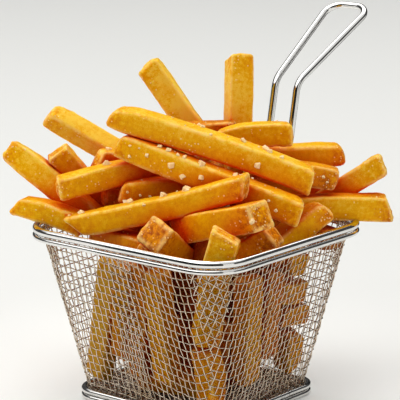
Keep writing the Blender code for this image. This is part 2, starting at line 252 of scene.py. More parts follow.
# Fries that stand against the two front walls inside the basket, in the same terms; each lies
# flat against its wall
FRONT_WALL_FRIES = (
    ("left_pale", (-10, -41, 65), (-30, -28, 9), 9.6, 9.0, 0, 0, 0.02, None, None),
    ("left_second", (-2, -41, 64), (-13, -31, 23), 8.8, 9.0, 0, 0, 0.40, None, None),
    ("left_third", (6, -41, 65), (-5.5, -30, 15), 8.4, 9.0, 0, 0, 0.60, None, None),
    ("left_low_end", (-5, -29.5, 14), (16, -12, 9), 9.4, 9.2, 0, 0, 0.55, None, None),
    ("middle_long", (13, -41, 64), (9.5, -30, 16), 9.0, 9.0, 0, 0, 0.32, None, None),
    ("corner_upper", (39.5, -36.5, 67), (30.5, -32.5, 36), 10.4, 10.4, 45, 0, 0.30, None, None),
    ("corner_lower", (29.5, -31, 33), (31, -28.5, 10), 9.6, 9.4, 0, 0, 0.40, None, None),
)
SIDE_WALL_FRIES = (
    ("right_first", (41, -17, 61), (32, -8, 15), 9.6, 9.0, 0, 0, 0.36, None, None),
    ("right_second", (41, -3, 61), (33, 2.5, 23), 9.6, 9.2, 0, 0, 0.68, None, None),
    ("right_upper", (40, 7, 62), (40.5, 19, 60), 9.4, 9.0, 0, 0, 0.30, None, None),
    ("right_thin", (39, 5, 50), (38.5, 22, 48), 9.0, 6.4, 0, 0, 0.40, None, None),
    ("right_crossing", (37, 8, 39), (36, 25, 37), 8.6, 8.4, 0, 0, 0.44, None, None),
    ("right_standing", (34, 19, 29), (30, 23.5, 13), 9.8, 9.2, 0, 0, 0.34, None, None),
)
# Places kept empty behind the two front walls, where the dark middle of the pile shows: two ends,
# width and thickness in mm
FRONT_WALL_GAP = ((30.5, -38, 69), (18, -30, 26), 10, 18)
SIDE_WALL_GAP = ((42, -34.5, 68), (36, -27, 22), 10, 18)
# Big flakes of salt: fry, then for each its distance along from the fry's first end in mm, its
# place on the fry's outline (across and rise, from -1 to 1) and its size in mm
SALT_SPOTS = (
    ("long_top", ((54.5, 0.2, 1, 2.2), (64.4, 0.2, 1, 2.5), (66.3, -0.1, 1, 2.2),
                  (72, -0.5, 1, 1.8), (63.6, -1, 0.2, 2.3), (35, 0.9, 1, 2.6), (37, 0.5, 1, 1.6))),
    ("long_second", ((25, -1, 0.15, 2.6), (31, -1, -0.35, 1.9), (36.5, -0.6, 1, 2.5),
                     (38.5, -1, 0.1, 1.8), (51, -0.4, 1, 2.2), (53.5, -0.7, 1, 1.6),
                     (17.5, -0.5, 1, 1.6), (21.5, -0.5, 1, 1.9), (26, -0.7, 1, 1.4),
                     (29, -0.7, 1, 1.7), (6, -1, 0.4, 0.9), (7, -1, -0.4, 1.1), (10, -1, 0.5, 0.8),
                     (14, -1, 0.2, 1.3), (68, -1, 0.3, 1.0), (72, -1, -0.2, 1.1))),
    ("long_front", ((5.3, 0.0, 1, 2.5), (26.8, 0.2, 1, 2.7), (41.5, 0.0, 1, 2.5),
                    (50.8, 0.2, 1, 2.8), (52.5, -0.3, 1, 1.5), (34, -1, 0.5, 1.2))),
    ("left_upper", ((22, 0.0, 1, 2.5), (30, 0.6, 1, 1.6))),
    ("left_tucked", ((5, 0.2, 1, 2.4),)),
    ("blistered", ((2, -1, -0.5, 2.0), (5.5, -1, -0.8, 2.6), (3, -1, 0.4, 0.9),
                   (8, -1, 0.0, 1.1), (12, -1, -0.2, 1.0))),
    ("front_block_end", ((20, -0.6, 1, 1.9), (0.3, 0.9, -0.2, 1.7))),
    ("right_dark", ((31, -1, 0.2, 1.3), (33, -1, -0.2, 1.1))),
)


def add_node(tree, kind, inputs=None, **settings):
    """Add a node, make its settings, and set or link its inputs by name or number."""
    node = tree.nodes.new(kind)
    for name, value in settings.items():
        setattr(node, name, value)
    for key, value in (inputs or {}).items():
        if isinstance(value, bpy.types.NodeSocket):
            tree.links.new(value, node.inputs[key])
        else:
            node.inputs[key].default_value = value
    return node


def maths(tree, operation, *values):
    """Output of a Math node."""
    return add_node(tree, "ShaderNodeMath", dict(enumerate(values)), operation=operation).outputs[0]


def vector_maths(tree, operation, *values):
    """Output of a Vector Math node."""
    inputs = dict(enumerate(values))
    if operation == "SCALE":
        inputs = {0: values[0], "Scale": values[1]}
    node = add_node(tree, "ShaderNodeVectorMath", inputs, operation=operation)
    return node.outputs["Value" if operation == "DISTANCE" else "Vector"]


def remap(tree, value, low, high, new_low=0.0, new_high=1.0):
    """A value's range stretched smoothly to another, and held at its ends."""
    node = add_node(tree, "ShaderNodeMapRange", {
        "Value": value, "From Min": low, "From Max": high, "To Min": new_low, "To Max": new_high},
        interpolation_type="SMOOTHSTEP")
    return node.outputs[0]


def stretch(tree, value, low, high):
    """A value's range stretched evenly to 0 to 1, and held at its ends."""
    node = add_node(tree, "ShaderNodeMapRange", {"Value": value, "From Min": low, "From Max": high})
    return node.outputs[0]


def mix_colour(tree, factor, first, second):
    """A mixture of two colours."""
    node = add_node(tree, "ShaderNodeMix", {0: factor, 6: first, 7: second}, data_type="RGBA")
    return node.outputs[2]


def noise_value(tree, vector, scale, detail, roughness=0.5):
    """Noise from 0 to 1, with a scale in bumps per metre."""
    node = add_node(tree, "ShaderNodeTexNoise", {
        "Vector": vector, "Scale": scale, "Detail": detail, "Roughness": roughness})
    return node.outputs["Fac"]


def attribute(tree, name, kind="Fac"):
    """A surface attribute, read in a material."""
    node = add_node(tree, "ShaderNodeAttribute", attribute_type="GEOMETRY", attribute_name=name)
    return node.outputs[kind]


def tint(tree, factor, colour, shade):
    """A colour multiplied by a shade, as far as factor says."""
    node = add_node(tree, "ShaderNodeMix", {0: factor, 6: colour, 7: (*shade, 1.0)},
                    data_type="RGBA", blend_type="MULTIPLY")
    return node.outputs[2]


def colour_ramp(tree, value, stops):
    """The colour for a value from 0 to 1, from stops that hold a place and a colour."""
    node = add_node(tree, "ShaderNodeValToRGB", {"Fac": value})
    made = node.color_ramp.elements
    ends = [made[0], made[-1]]
    for stop, (place, shade) in zip(ends, (stops[0], stops[-1])):
        stop.position, stop.color = place, (*shade, 1.0)
    for place, shade in stops[1:-1]:
        made.new(place).color = (*shade, 1.0)
    return node.outputs["Color"]


def roughen(tree, shader, height, strength, distance):
    """Give a shader small bumps."""
    bump = add_node(tree, "ShaderNodeBump", {
        "Strength": strength, "Distance": distance, "Height": height})
    tree.links.new(bump.outputs[0], shader.inputs["Normal"])


SOCKETS = {"ior": "IOR", "specular_ior_level": "Specular IOR Level"}


def new_material(name, **sockets):
    """A material with a Principled shader, whose even values are set on the shader itself."""
    material = bpy.data.materials.new(name)
    material.use_nodes = True
    shader = material.node_tree.nodes["Principled BSDF"]
    for socket, value in sockets.items():
        shader.inputs[SOCKETS.get(socket, socket.replace("_", " ").title())].default_value = value
    return material, material.node_tree, shader


def chrome_material(look):
    """Bright drawn wire with faint smears and tiny pits."""
    material, tree, shader = new_material("bright_wire", metallic=1.0)
    place = add_node(tree, "ShaderNodeTexCoord").outputs["Object"]
    smear = noise_value(tree, place, 90.0, 3.0, 0.6)
    grit = noise_value(tree, place, 1400.0, 2.0, 0.6)
    rough = remap(tree, smear, 0.35, 0.75, look.wire_roughness, look.wire_roughness + 0.06)
    tree.links.new(rough, shader.inputs["Roughness"])
    dull = tuple(0.82 * part for part in look.wire_colour) + (1.0,)
    colour = mix_colour(tree, remap(tree, smear, 0.4, 0.8), (*look.wire_colour, 1.0), dull)
    tree.links.new(colour, shader.inputs["Base Color"])
    roughen(tree, shader, maths(tree, "ADD", grit, smear), 0.10, 0.05 * MM)
    return material


def mesh_material(look):
    """Fine steel wire, a little duller than the rim and browned by oil in places."""
    material, tree, shader = new_material("woven_wire", metallic=1.0)
    place = add_node(tree, "ShaderNodeTexCoord").outputs["Object"]
    patch = noise_value(tree, place, 60.0, 2.0, 0.5)
    grit = noise_value(tree, place, 900.0, 2.0, 0.6)
    rough = remap(tree, grit, 0.3, 0.7, look.mesh_roughness, look.mesh_roughness + 0.14)
    tree.links.new(rough, shader.inputs["Roughness"])
    oily = tuple(part * shade for part, shade in zip(look.mesh_colour, OILY_SHADE)) + (1.0,)
    colour = mix_colour(tree, remap(tree, patch, 0.45, 0.8), (*look.mesh_colour, 1.0), oily)
    tree.links.new(colour, shader.inputs["Base Color"])
    roughen(tree, shader, grit, 0.25, 0.03 * MM)
    return material


def fried_amount(tree, cloud, speck, fine, worn_and_highlight):
    """How far the skin is done, from 0 pale to 1 brown; the tone and the pale edges in it also hold
    painted light and shade.
    """
    done = attribute(tree, "tone")
    for texture, low, high, paler, browner in (
            (cloud, 0.25, 0.75, -0.09, 0.11), (speck, 0.30, 0.72, -0.11, 0.12),
            (fine, 0.30, 0.70, -0.08, 0.08)):
        done = maths(tree, "ADD", done, remap(tree, texture, low, high, paler, browner))
    browned = remap(tree, speck, 0.25, 0.65, 0.04, 0.34)
    done = maths(tree, "ADD", done, maths(tree, "MULTIPLY", attribute(tree, "tip"), browned))
    for paler, share in ((worn_and_highlight, 0.16), (attribute(tree, "blister"), 0.22)):
        done = maths(tree, "SUBTRACT", done, maths(tree, "MULTIPLY", paler, share))
    return done


def crust_bubbles(tree, grain, cloud, edge):
    """Small dots where the crust has bubbled, most of them near the ends and the edges."""
    dots = add_node(tree, "ShaderNodeTexVoronoi", {"Vector": grain, "Scale": 820.0})
    where = maths(tree, "ADD", maths(tree, "MULTIPLY", attribute(tree, "tip"), 0.19), cloud)
    where = maths(tree, "ADD", where, maths(tree, "MULTIPLY", edge, 0.10))
    chosen = add_node(tree, "ShaderNodeSeparateColor", {0: dots.outputs["Color"]}).outputs[0]
    where = maths(tree, "ADD", where, maths(tree, "MULTIPLY", chosen, 0.5))
    return maths(tree, "MULTIPLY", remap(tree, dots.outputs["Distance"], 0.36, 0.16),
                 remap(tree, where, 0.94, 1.06))


def potato_material(look):
    """Fried potato: golden, browner at tips, paler along the edges in part as painted highlight,
    with painted shade where fries wall it in and down in the basket.
    """
    material, tree, shader = new_material(
        "crisp_potato", subsurface_weight=0.40, subsurface_scale=0.0014,
        subsurface_radius=(1.0, 0.36, 0.06), ior=1.40, specular_ior_level=0.08)
    grain = attribute(tree, "grain", "Vector")
    cloud = noise_value(tree, grain, 105.0, 3.0, 0.55)
    speck = noise_value(tree, grain, 560.0, 3.0, 0.65)
    fine = noise_value(tree, grain, 2300.0, 2.0, 0.6)
    edge = attribute(tree, "edge")
    breaks = noise_value(tree, grain, 260.0, 2.0, 0.6)
    # The pale line along the edges, broken up: partly worn crust, partly painted highlight
    worn_and_highlight = maths(tree, "MULTIPLY", edge, remap(tree, breaks, 0.36, 0.60, 0.15, 1.0))
    bubble = crust_bubbles(tree, grain, cloud, edge)
    colour = colour_ramp(tree, fried_amount(tree, cloud, speck, fine, worn_and_highlight), (
        (0.0, look.pale_colour), (0.24, look.golden_colour), (0.64, look.orange_colour),
        (1.0, look.brown_colour)))
    colour = mix_colour(tree, maths(tree, "MULTIPLY", bubble, 0.80), colour,
                        (*look.bubble_colour, 1.0))
    colour = mix_colour(tree, maths(tree, "MULTIPLY", worn_and_highlight, 0.60), colour,
                        (*look.edge_colour, 1.0))
    # Painted shade: a place walled in by other fries is tinted darker and redder, standing in for
    # the light it loses and the redder light it gets off the fries round it
    colour = tint(tree, stretch(tree, attribute(tree, "shelter"), 0.05, 0.58), colour,
                  look.painted_shade_colour)
    # Painted shade: what sits down in the basket is tinted darker, standing in for the shade of the
    # heap, the rim and the mesh above it
    colour = tint(tree, attribute(tree, "inside"), colour, look.inside_shade_colour)
    tree.links.new(colour, shader.inputs["Base Color"])
    rough = remap(tree, speck, 0.3, 0.7, look.fry_roughness - 0.08, look.fry_roughness + 0.12)
    tree.links.new(rough, shader.inputs["Roughness"])
    height = maths(tree, "ADD", maths(tree, "MULTIPLY", fine, 0.30),
                   maths(tree, "ADD", speck, maths(tree, "MULTIPLY", bubble, 0.8)))
    roughen(tree, shader, height, 0.60, 0.26 * MM)
    return material


def salt_material(look):
    """Clear white flakes of salt."""
    material, tree, shader = new_material(
        "salt_flakes", ior=1.54, subsurface_weight=0.5, subsurface_scale=0.0008,
        subsurface_radius=(1.0, 0.9, 0.8))
    place = add_node(tree, "ShaderNodeTexCoord").outputs["Object"]
    facet = noise_value(tree, place, 2500.0, 1.0, 0.5)
    cool = tuple(0.88 * part for part in look.salt_colour) + (1.0,)
    colour = mix_colour(tree, facet, cool, (*look.salt_colour, 1.0))
    tree.links.new(colour, shader.inputs["Base Color"])
    tree.links.new(remap(tree, facet, 0.3, 0.7, 0.12, 0.34), shader.inputs["Roughness"])
    return material


def start_tree(name, *inputs):
    """A Geometry Nodes tree with named inputs; each is a label, a socket type and a default."""
    tree = bpy.data.node_groups.new(name, "GeometryNodeTree")
    tree.interface.new_socket("Geometry", in_out="INPUT", socket_type="NodeSocketGeometry")
    for label, kind, default in (*inputs, ("Material", "Material", None)):
        socket = tree.interface.new_socket(label, in_out="INPUT", socket_type="NodeSocket" + kind)
        if default is not None:
            socket.default_value = default
    tree.interface.new_socket("Geometry", in_out="OUTPUT", socket_type="NodeSocketGeometry")
    return tree, tree.nodes.new("NodeGroupInput").outputs


def end_tree(tree, given, geometry, smooth=True):
    """Smooth the result, realize its instances, give it its material and close the tree."""
    if smooth:
        geometry = add_node(tree, "GeometryNodeSetShadeSmooth", {"Geometry": geometry}).outputs[0]
    real = add_node(tree, "GeometryNodeRealizeInstances", {"Geometry": geometry})
    dressed = add_node(tree, "GeometryNodeSetMaterial", {
        "Geometry": real.outputs[0], "Material": given["Material"]})
    end = tree.nodes.new("NodeGroupOutput")
    tree.links.new(dressed.outputs[0], end.inputs[0])
    return tree


def read_note(tree, name, kind="FLOAT"):
    """A point's named value, read in a Geometry Nodes tree."""
    node = add_node(tree, "GeometryNodeInputNamedAttribute", {"Name": name}, data_type=kind)
    return node.outputs[0]


def keep_note(tree, geometry, name, value):
    """The geometry with a named value kept on its points."""
    node = add_node(tree, "GeometryNodeStoreNamedAttribute", {
        "Geometry": geometry, "Name": name, "Value": value}, data_type="FLOAT", domain="POINT")
    return node.outputs[0]


def apply_tree(piece, tree, values):
    """Run a tree on a piece and leave the result as its plain mesh."""
    modifier = piece.modifiers.new(tree.name, "NODES")
    modifier.node_group = tree
    for item in tree.interface.items_tree:
        if item.in_out == "INPUT" and item.name in values:
            modifier[item.identifier] = values[item.name]
    depsgraph = bpy.context.evaluated_depsgraph_get()
    made = bpy.data.meshes.new_from_object(
        piece.evaluated_get(depsgraph), preserve_all_data_layers=True, depsgraph=depsgraph)
    piece.modifiers.clear()
    rough = piece.data
    piece.data = made
    made.name = piece.name
    bpy.data.meshes.remove(rough)


def new_piece(name, data):
    """Put mesh data in the scene as a named object at the origin."""
    piece = bpy.data.objects.new(name, data)
    bpy.context.scene.collection.objects.link(piece)
    return piece


def finish_mesh(mesh, name, material=None, shift=(0.0, 0.0, 0.0)):
    """Mesh data made from a bmesh, moved by shift; the bmesh is used up."""
    bmesh.ops.translate(mesh, vec=shift, verts=mesh.verts)
    data = bpy.data.meshes.new(name)
    mesh.to_mesh(data)
    mesh.free()
    if material:
        data.materials.append(material)
    return data


def give(piece, slot, *nodes):
    """Hang a finished piece on the frame."""
    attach(piece, BODY)
    if nodes:
        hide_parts(*nodes)


def chain_piece(name, chains, lifts=None):
    """Strings of points joined by edges, and how far a weave lifts each point."""
    points = []
    edges = []
    for chain in chains:
        first = len(points)
        points.extend(chain)
        edges.extend((first + step, first + step + 1) for step in range(len(chain) - 1))
    data = bpy.data.meshes.new(name)
    data.from_pydata([FOOT + Vector(point) for point in points], edges, [])
    if lifts is not None:
        lift = data.attributes.new("lift", "FLOAT_VECTOR", "POINT")
        lift.data.foreach_set("vector", np.concatenate(lifts).astype(np.float32).ravel())
    return new_piece(name, data)


def wander(tree, scale, detail, amount):
    """A smooth random shift of each point."""
    place = add_node(tree, "GeometryNodeInputPosition").outputs[0]
    drift = add_node(tree, "ShaderNodeTexNoise", {"Vector": place, "Scale": scale, "Detail": detail})
    centred = vector_maths(tree, "SUBTRACT", drift.outputs["Color"], (0.5, 0.5, 0.5))
    return vector_maths(tree, "SCALE", centred, amount)


def draw_wire(tree, given, shift):
    """Shift the strings of points, draw them as round wire and close the tree."""
    moved = add_node(tree, "GeometryNodeSetPosition", {
        "Geometry": given["Geometry"], "Offset": shift})
    path = add_node(tree, "GeometryNodeMeshToCurve", {"Mesh": moved.outputs[0]})
    outline = add_node(tree, "GeometryNodeCurvePrimitiveCircle", {
        "Resolution": given["Sides"], "Radius": maths(tree, "DIVIDE", given["Diameter"], 2.0)})
    wire = add_node(tree, "GeometryNodeCurveToMesh", {
        "Curve": path.outputs[0], "Profile Curve": outline.outputs[0], "Fill Caps": True})
    return end_tree(tree, given, wire.outputs[0])


def wire_tree():
    """Round wire drawn along strings of points, with a slight waviness."""
    tree, given = start_tree(
        "drawn_wire", ("Diameter", "Float", 3 * MM), ("Sides", "Int", 24),
        ("Waviness", "Float", 0.05 * MM))
    return draw_wire(tree, given, wander(tree, 38.0, 0.0, given["Waviness"]))


def weave_tree():
    """Plain weave: strings of points lifted over and under each other, then drawn as wire."""
    tree, given = start_tree(
        "plain_weave", ("Diameter", "Float", 0.5 * MM), ("Crimp", "Float", 0.25 * MM),
        ("Unevenness", "Float", 0.3 * MM), ("Sides", "Int", 5))
    lift = vector_maths(tree, "SCALE", read_note(tree, "lift", "FLOAT_VECTOR"), given["Crimp"])
    shift = vector_maths(tree, "ADD", lift, wander(tree, 140.0, 1.0, given["Unevenness"]))
    return draw_wire(tree, given, shift)


def fried_tree():
    """The fried skin on plain sticks: puckers, a fine grain, and blisters towards the ends."""
    tree, given = start_tree(
        "fried_skin", ("Pucker", "Float", 0.35 * MM), ("Pucker Size", "Float", 7 * MM),
        ("Grain", "Float", 0.10 * MM), ("Grain Size", "Float", 1.8 * MM),
        ("Blister", "Float", 0.45 * MM), ("Blister Size", "Float", 3.2 * MM))
    grain = read_note(tree, "grain", "FLOAT_VECTOR")
    tip = read_note(tree, "tip")

    def swell(size, amount, detail):
        waves = noise_value(tree, grain, maths(tree, "DIVIDE", 1.0, size), detail)
        return maths(tree, "MULTIPLY", maths(tree, "SUBTRACT", waves, 0.5),
                     maths(tree, "MULTIPLY", amount, 2.0))

    rise = maths(tree, "ADD", swell(given["Pucker Size"], given["Pucker"], 1.0),
                 swell(given["Grain Size"], given["Grain"], 2.0))
    cells = add_node(tree, "ShaderNodeTexVoronoi", {
        "Vector": grain, "Scale": maths(tree, "DIVIDE", 1.0, given["Blister Size"])},
        feature="SMOOTH_F1")
    dome = remap(tree, cells.outputs["Distance"], 0.52, 0.12)
    where = maths(tree, "ADD", maths(tree, "MULTIPLY", tip, 0.30),
                  noise_value(tree, grain, maths(tree, "DIVIDE", 0.22, given["Blister Size"]), 1.0))
    dome = maths(tree, "MULTIPLY", dome, remap(tree, where, 0.58, 0.74))
    rise = maths(tree, "ADD", rise, maths(tree, "MULTIPLY", dome, given["Blister"]))
    normal = add_node(tree, "GeometryNodeInputNormal").outputs[0]
    moved = add_node(tree, "GeometryNodeSetPosition", {
        "Geometry": keep_note(tree, given["Geometry"], "blister", dome),
        "Offset": vector_maths(tree, "SCALE", normal, rise)})
    return end_tree(tree, given, moved.outputs[0])


def painted_shade_tree():
    """Marks how far each point of a fry is walled in by the fries round it, from 0 to 1, as painted
    shade; below the rim it gets more of it, and is marked as inside for the material's painted shade
    there.
    """
    tree, given = start_tree(
        "shelter", ("Pile", "Object", None), ("Reach", "Float", 26 * MM),
        ("Rim Height", "Float", 74 * MM), ("Inside Shade", "Float", 0.2))
    place = add_node(tree, "GeometryNodeInputPosition").outputs[0]
    normal = add_node(tree, "GeometryNodeInputNormal").outputs[0]
    pile = add_node(tree, "GeometryNodeObjectInfo", {"Object": given["Pile"]})
    start = vector_maths(tree, "ADD", place, vector_maths(tree, "SCALE", normal, 0.6 * MM))
    closed = 0.0
    for index in range(PAINTED_SHADE_RAYS):
        level = 1 - (2 * index + 1) / PAINTED_SHADE_RAYS
        turn = index * math.pi * (3 - math.sqrt(5))
        flat = math.sqrt(1 - level * level)
        spread = (flat * math.cos(turn), flat * math.sin(turn), level)
        aim = vector_maths(tree, "ADD", normal, tuple(0.96 * part for part in spread))
        cast = add_node(tree, "GeometryNodeRaycast", {
            "Target Geometry": pile.outputs["Geometry"], "Source Position": start,
            "Ray Direction": aim, "Ray Length": given["Reach"]})
        near = remap(tree, cast.outputs["Hit Distance"], 0.0, given["Reach"], 1.0, 0.0)
        closed = maths(tree, "ADD", closed, maths(tree, "MULTIPLY", cast.outputs["Is Hit"], near))
    share = maths(tree, "DIVIDE", closed, PAINTED_SHADE_RAYS)
    height = add_node(tree, "ShaderNodeSeparateXYZ", {0: place}).outputs["Z"]
    # Painted shade below the rim: less of the walled-in share is kept, Inside Shade is added, and
    # the place is marked inside for the material's darker tint
    below = maths(tree, "SUBTRACT", given["Rim Height"], height)
    inside = remap(tree, below, -6 * MM, 14 * MM)
    kept_share = maths(tree, "SUBTRACT", 1.0, maths(tree, "MULTIPLY", inside, 0.45))
    share = maths(tree, "MULTIPLY_ADD", share, kept_share, maths(
        tree, "MULTIPLY", inside, given["Inside Shade"]))
    marked = keep_note(tree, given["Geometry"], "inside", inside)
    return end_tree(tree, given, keep_note(tree, marked, "shelter", share))


def mark_painted_shade(names, material):
    """Work out the painted shade of several pieces from how far all of them together wall them in.
    """
    pile = bmesh.new()
    for name in names:
        pile.from_mesh(bpy.data.objects[name].data)
    data = finish_mesh(pile, "pile")
    whole = new_piece("pile", data)
    tree = painted_shade_tree()
    for name in names:
        apply_tree(bpy.data.objects[name], tree, {
            "Pile": whole, "Reach": 26 * MM, "Rim Height": FOOT.z + 72 * MM,
            "Inside Shade": 0.10, "Material": material})
    bpy.data.objects.remove(whole)
    bpy.data.meshes.remove(data)


def salt_tree():
    """Salt scattered where a surface faces up, densest over the middle, and the big flakes."""
    tree, given = start_tree(
        "salt_scatter", ("Crystals", "Collection", None), ("Spots", "Object", None),
        ("Density", "Float", 9000.0), ("Smallest", "Float", 0.5), ("Largest", "Float", 1.3),
        ("Seed", "Int", 3), ("Middle", "Vector", None), ("Spread", "Float", 45 * MM))
    place = add_node(tree, "GeometryNodeInputPosition").outputs[0]
    normal = add_node(tree, "GeometryNodeInputNormal").outputs[0]
    up = add_node(tree, "ShaderNodeSeparateXYZ", {0: normal}).outputs["Z"]
    reach = vector_maths(tree, "DISTANCE", place, given["Middle"])
    fade = remap(tree, maths(tree, "DIVIDE", reach, given["Spread"]), 1.5, 0.2, 0.06, 1.0)
    thick = maths(tree, "MULTIPLY", remap(tree, up, 0.30, 0.75),
                  maths(tree, "MULTIPLY", fade, given["Density"]))
    scattered = add_node(tree, "GeometryNodeDistributePointsOnFaces", {
        "Mesh": given["Geometry"], "Density": thick, "Seed": given["Seed"]})
    chance = add_node(tree, "FunctionNodeRandomValue", {
        2: 0.0, 3: 1.0, "Seed": given["Seed"]}, data_type="FLOAT")
    shrunk = maths(tree, "POWER", chance.outputs[1], 2.0)
    grown = maths(tree, "ADD", given["Smallest"], maths(
        tree, "MULTIPLY", shrunk, maths(tree, "SUBTRACT", given["Largest"], given["Smallest"])))
    fine = keep_note(tree, scattered.outputs["Points"], "size", grown)
    # The big flakes are moved onto the nearest skin
    spots = add_node(tree, "GeometryNodeObjectInfo", {"Object": given["Spots"]})
    nearest = add_node(tree, "GeometryNodeProximity", {"Target": given["Geometry"]},
                       target_element="FACES")
    landed = add_node(tree, "GeometryNodeSetPosition", {
        "Geometry": spots.outputs["Geometry"], "Position": nearest.outputs["Position"]})
    both = add_node(tree, "GeometryNodeJoinGeometry")
    tree.links.new(fine, both.inputs[0])
    tree.links.new(landed.outputs[0], both.inputs[0])
    kinds = add_node(tree, "GeometryNodeCollectionInfo", {
        "Collection": given["Crystals"], "Separate Children": True, "Reset Children": True})
    turn = add_node(tree, "FunctionNodeRandomValue", {
        0: (0.0, 0.0, 0.0), 1: (math.tau, math.tau, math.tau), "Seed": given["Seed"]},
        data_type="FLOAT_VECTOR")
    placed = add_node(tree, "GeometryNodeInstanceOnPoints", {
        "Points": both.outputs[0], "Instance": kinds.outputs[0], "Pick Instance": True,
        "Rotation": turn.outputs[0], "Scale": read_note(tree, "size")})
    return end_tree(tree, given, placed.outputs[0], smooth=False)


def ring_points(half_x, half_y, radius, z, steps):
    """Points of a round-cornered rectangle, counter-clockwise, with extra points on its sides."""
    points = []
    for sign_x, sign_y, start in ((1, 1, 0), (-1, 1, 90), (-1, -1, 180), (1, -1, 270)):
        for step in range(steps + 1):
            angle = math.radians(start + 90.0 * step / steps)
            points.append(Vector((sign_x * (half_x - radius) + radius * math.cos(angle),
                                  sign_y * (half_y - radius) + radius * math.sin(angle), z)))
    dense = []
    for point, following in zip(points, points[1:] + points[:1]):
        pieces = max(1, round((following - point).length / (6 * MM)))
        dense.extend(point.lerp(following, part / pieces) for part in range(pieces))
    return dense


def rounded_path(corners, steps):
    """A path through (point, radius) corners, each turned by an arc of its radius."""
    points = [corners[0][0]]
    for before, (corner, radius), after in zip(corners, corners[1:], corners[2:]):
        back = (before[0] - corner).normalized()
        ahead = (after[0] - corner).normalized()
        half_angle = back.angle(ahead) / 2
        middle = corner + (back + ahead).normalized() * (radius / math.sin(half_angle))
        reach = radius / math.tan(half_angle)
        first = corner + back * reach - middle
        last = corner + ahead * reach - middle
        sweep = first.angle(last)
        for step in range(steps + 1):
            share = step / steps
            spoke = (first * math.sin((1 - share) * sweep) + last * math.sin(share * sweep))
            points.append(middle + spoke / math.sin(sweep))
    points.append(corners[-1][0])
    return points


def open_ring(points, start, step_up):
    """A ring cut open at the point nearest to start, its two ends a little out of line."""
    cut = min(range(len(points)), key=lambda index: (points[index] - start).length)
    turned = points[cut:] + points[:cut]
    direction = (turned[1] - turned[0]).normalized()
    last = turned[0] - direction * 0.12 * MM
    turned[0] = turned[0] + direction * 0.12 * MM + Vector((0, 0, step_up))
    turned[1] = turned[1] + Vector((0, 0, step_up * 0.5))
    return turned + [last]


def build_wires(settings, material):
    """The rim's two wires and the base's two."""
    tree = wire_tree()
    rim_upper_z = RIM_SEAM_Z + (settings.rim_upper + GAP) / 2
    rim_lower_z = RIM_SEAM_Z - (settings.rim_lower + GAP) / 2
    out = (settings.rim_upper - settings.rim_lower) / 2
    half_x, half_y = RIM_SIZE[0] / 2, RIM_SIZE[1] / 2
    upper = ring_points(half_x, half_y, RIM_CORNER, rim_upper_z, 16)
    lower = ring_points(half_x + out, half_y + out, RIM_CORNER + out, rim_lower_z, 16)
    rings = [("rim_upper", upper, settings.rim_upper, "rim_upper_wire", (9, 51, 73)),
             ("rim_lower", lower, settings.rim_lower, "rim_lower_wire", (-20, 51, 70))]
    for label, z, join in (("lower", BASE_LOWER_Z, (-8, 35, 1)),
                           ("upper", BASE_UPPER_Z, (37, 14, 4))):
        ring = ring_points(BASE_SIZE[0] / 2, BASE_SIZE[1] / 2, BASE_CORNER, z, 14)
        rings.append(("base_" + label, ring, settings.base, "base_" + label + "_wire", join))
    for name, points, diameter, node, join in rings:
        points = open_ring(points, Vector(join) * MM, 0.12 * MM)
        piece = chain_piece(name, [points])
        apply_tree(piece, tree, {"Diameter": diameter, "Sides": 24, "Waviness": 0.10 * MM,
                                 "Material": material})
        give(piece, "chrome_wire", node)


def handle_corners(diameter):
    """Corner points of the handle, with the radius that turns each."""
    rim_out = RIM_SIZE[1] / 2 + RIM_FACE + GAP + diameter / 2
    foot_out = BASE_SIZE[1] / 2 + BASE_FACE + GAP + diameter / 2
    bend_out = rim_out + (LEG_BEND_Z - RIM_SEAM_Z) * math.tan(LEG_LEAN)
    loop_out = bend_out + ARM_LENGTH * math.cos(ARM_RISE)
    loop_z = LEG_BEND_Z + ARM_LENGTH * math.sin(ARM_RISE)
    left = [(Vector((HANDLE_X - half, out, z)), radius) for half, out, z, radius in (
        (LEG_SPAN / 2, foot_out, LEG_FOOT_Z, 0.0),
        (LEG_SPAN / 2, rim_out, RIM_SEAM_Z, LEG_SWEEP_RADIUS),
        (LEG_SPAN / 2, bend_out, LEG_BEND_Z, LEG_BEND_RADIUS),
        (LOOP_SPAN / 2, loop_out, loop_z, LOOP_END_RADIUS))]
    right = [(Vector((2 * HANDLE_X - point.x, point.y, point.z)), radius)
             for point, radius in reversed(left)]
    return left + right


def build_handle(settings, material):
    """The bent wire loop and the beads of weld that hold its legs."""
    corners = handle_corners(settings.handle)
    path = rounded_path(corners, 14)
    piece = chain_piece("handle", [path])
    apply_tree(piece, wire_tree(), {"Diameter": settings.handle, "Sides": 24,
                                    "Waviness": 0.12 * MM, "Material": material})
    give(piece, "chrome_wire", "handle_wire")
    beads = bmesh.new()
    for side in (-1, 1):
        x = HANDLE_X + side * LEG_SPAN / 2
        for half, wire, z in ((RIM_SIZE[1] / 2, settings.rim_upper, RIM_SEAM_Z + 1.8 * MM),
                              (RIM_SIZE[1] / 2, settings.rim_upper, RIM_SEAM_Z - 1.1 * MM),
                              (BASE_SIZE[1] / 2, settings.base, BASE_UPPER_Z)):
            touch = Vector((x, half + wire / 2 + GAP / 2, z))
            spread = Matrix.Diagonal((1.9 * MM, 0.75 * MM, 0.9 * MM, 1.0))
            made = bmesh.ops.create_icosphere(beads, subdivisions=3, radius=1.0,
                                              matrix=Matrix.Translation(touch) @ spread)
            for vert in made["verts"]:
                away = vert.co - touch
                vert.co = touch + away * (1 + 0.22 * noise.noise(vert.co / (0.9 * MM)))
    data = finish_mesh(beads, "weld_beads", material, FOOT)
    data.shade_smooth()
    give(new_piece("weld_beads", data), "chrome_wire")


def quarter_turn(turn):
    """Matrix that turns rows of points by quarter turns about the upright axis."""
    angle = turn * math.pi / 2
    return np.array([[math.cos(angle), math.sin(angle), 0],
                     [-math.sin(angle), math.cos(angle), 0], [0, 0, 1]])


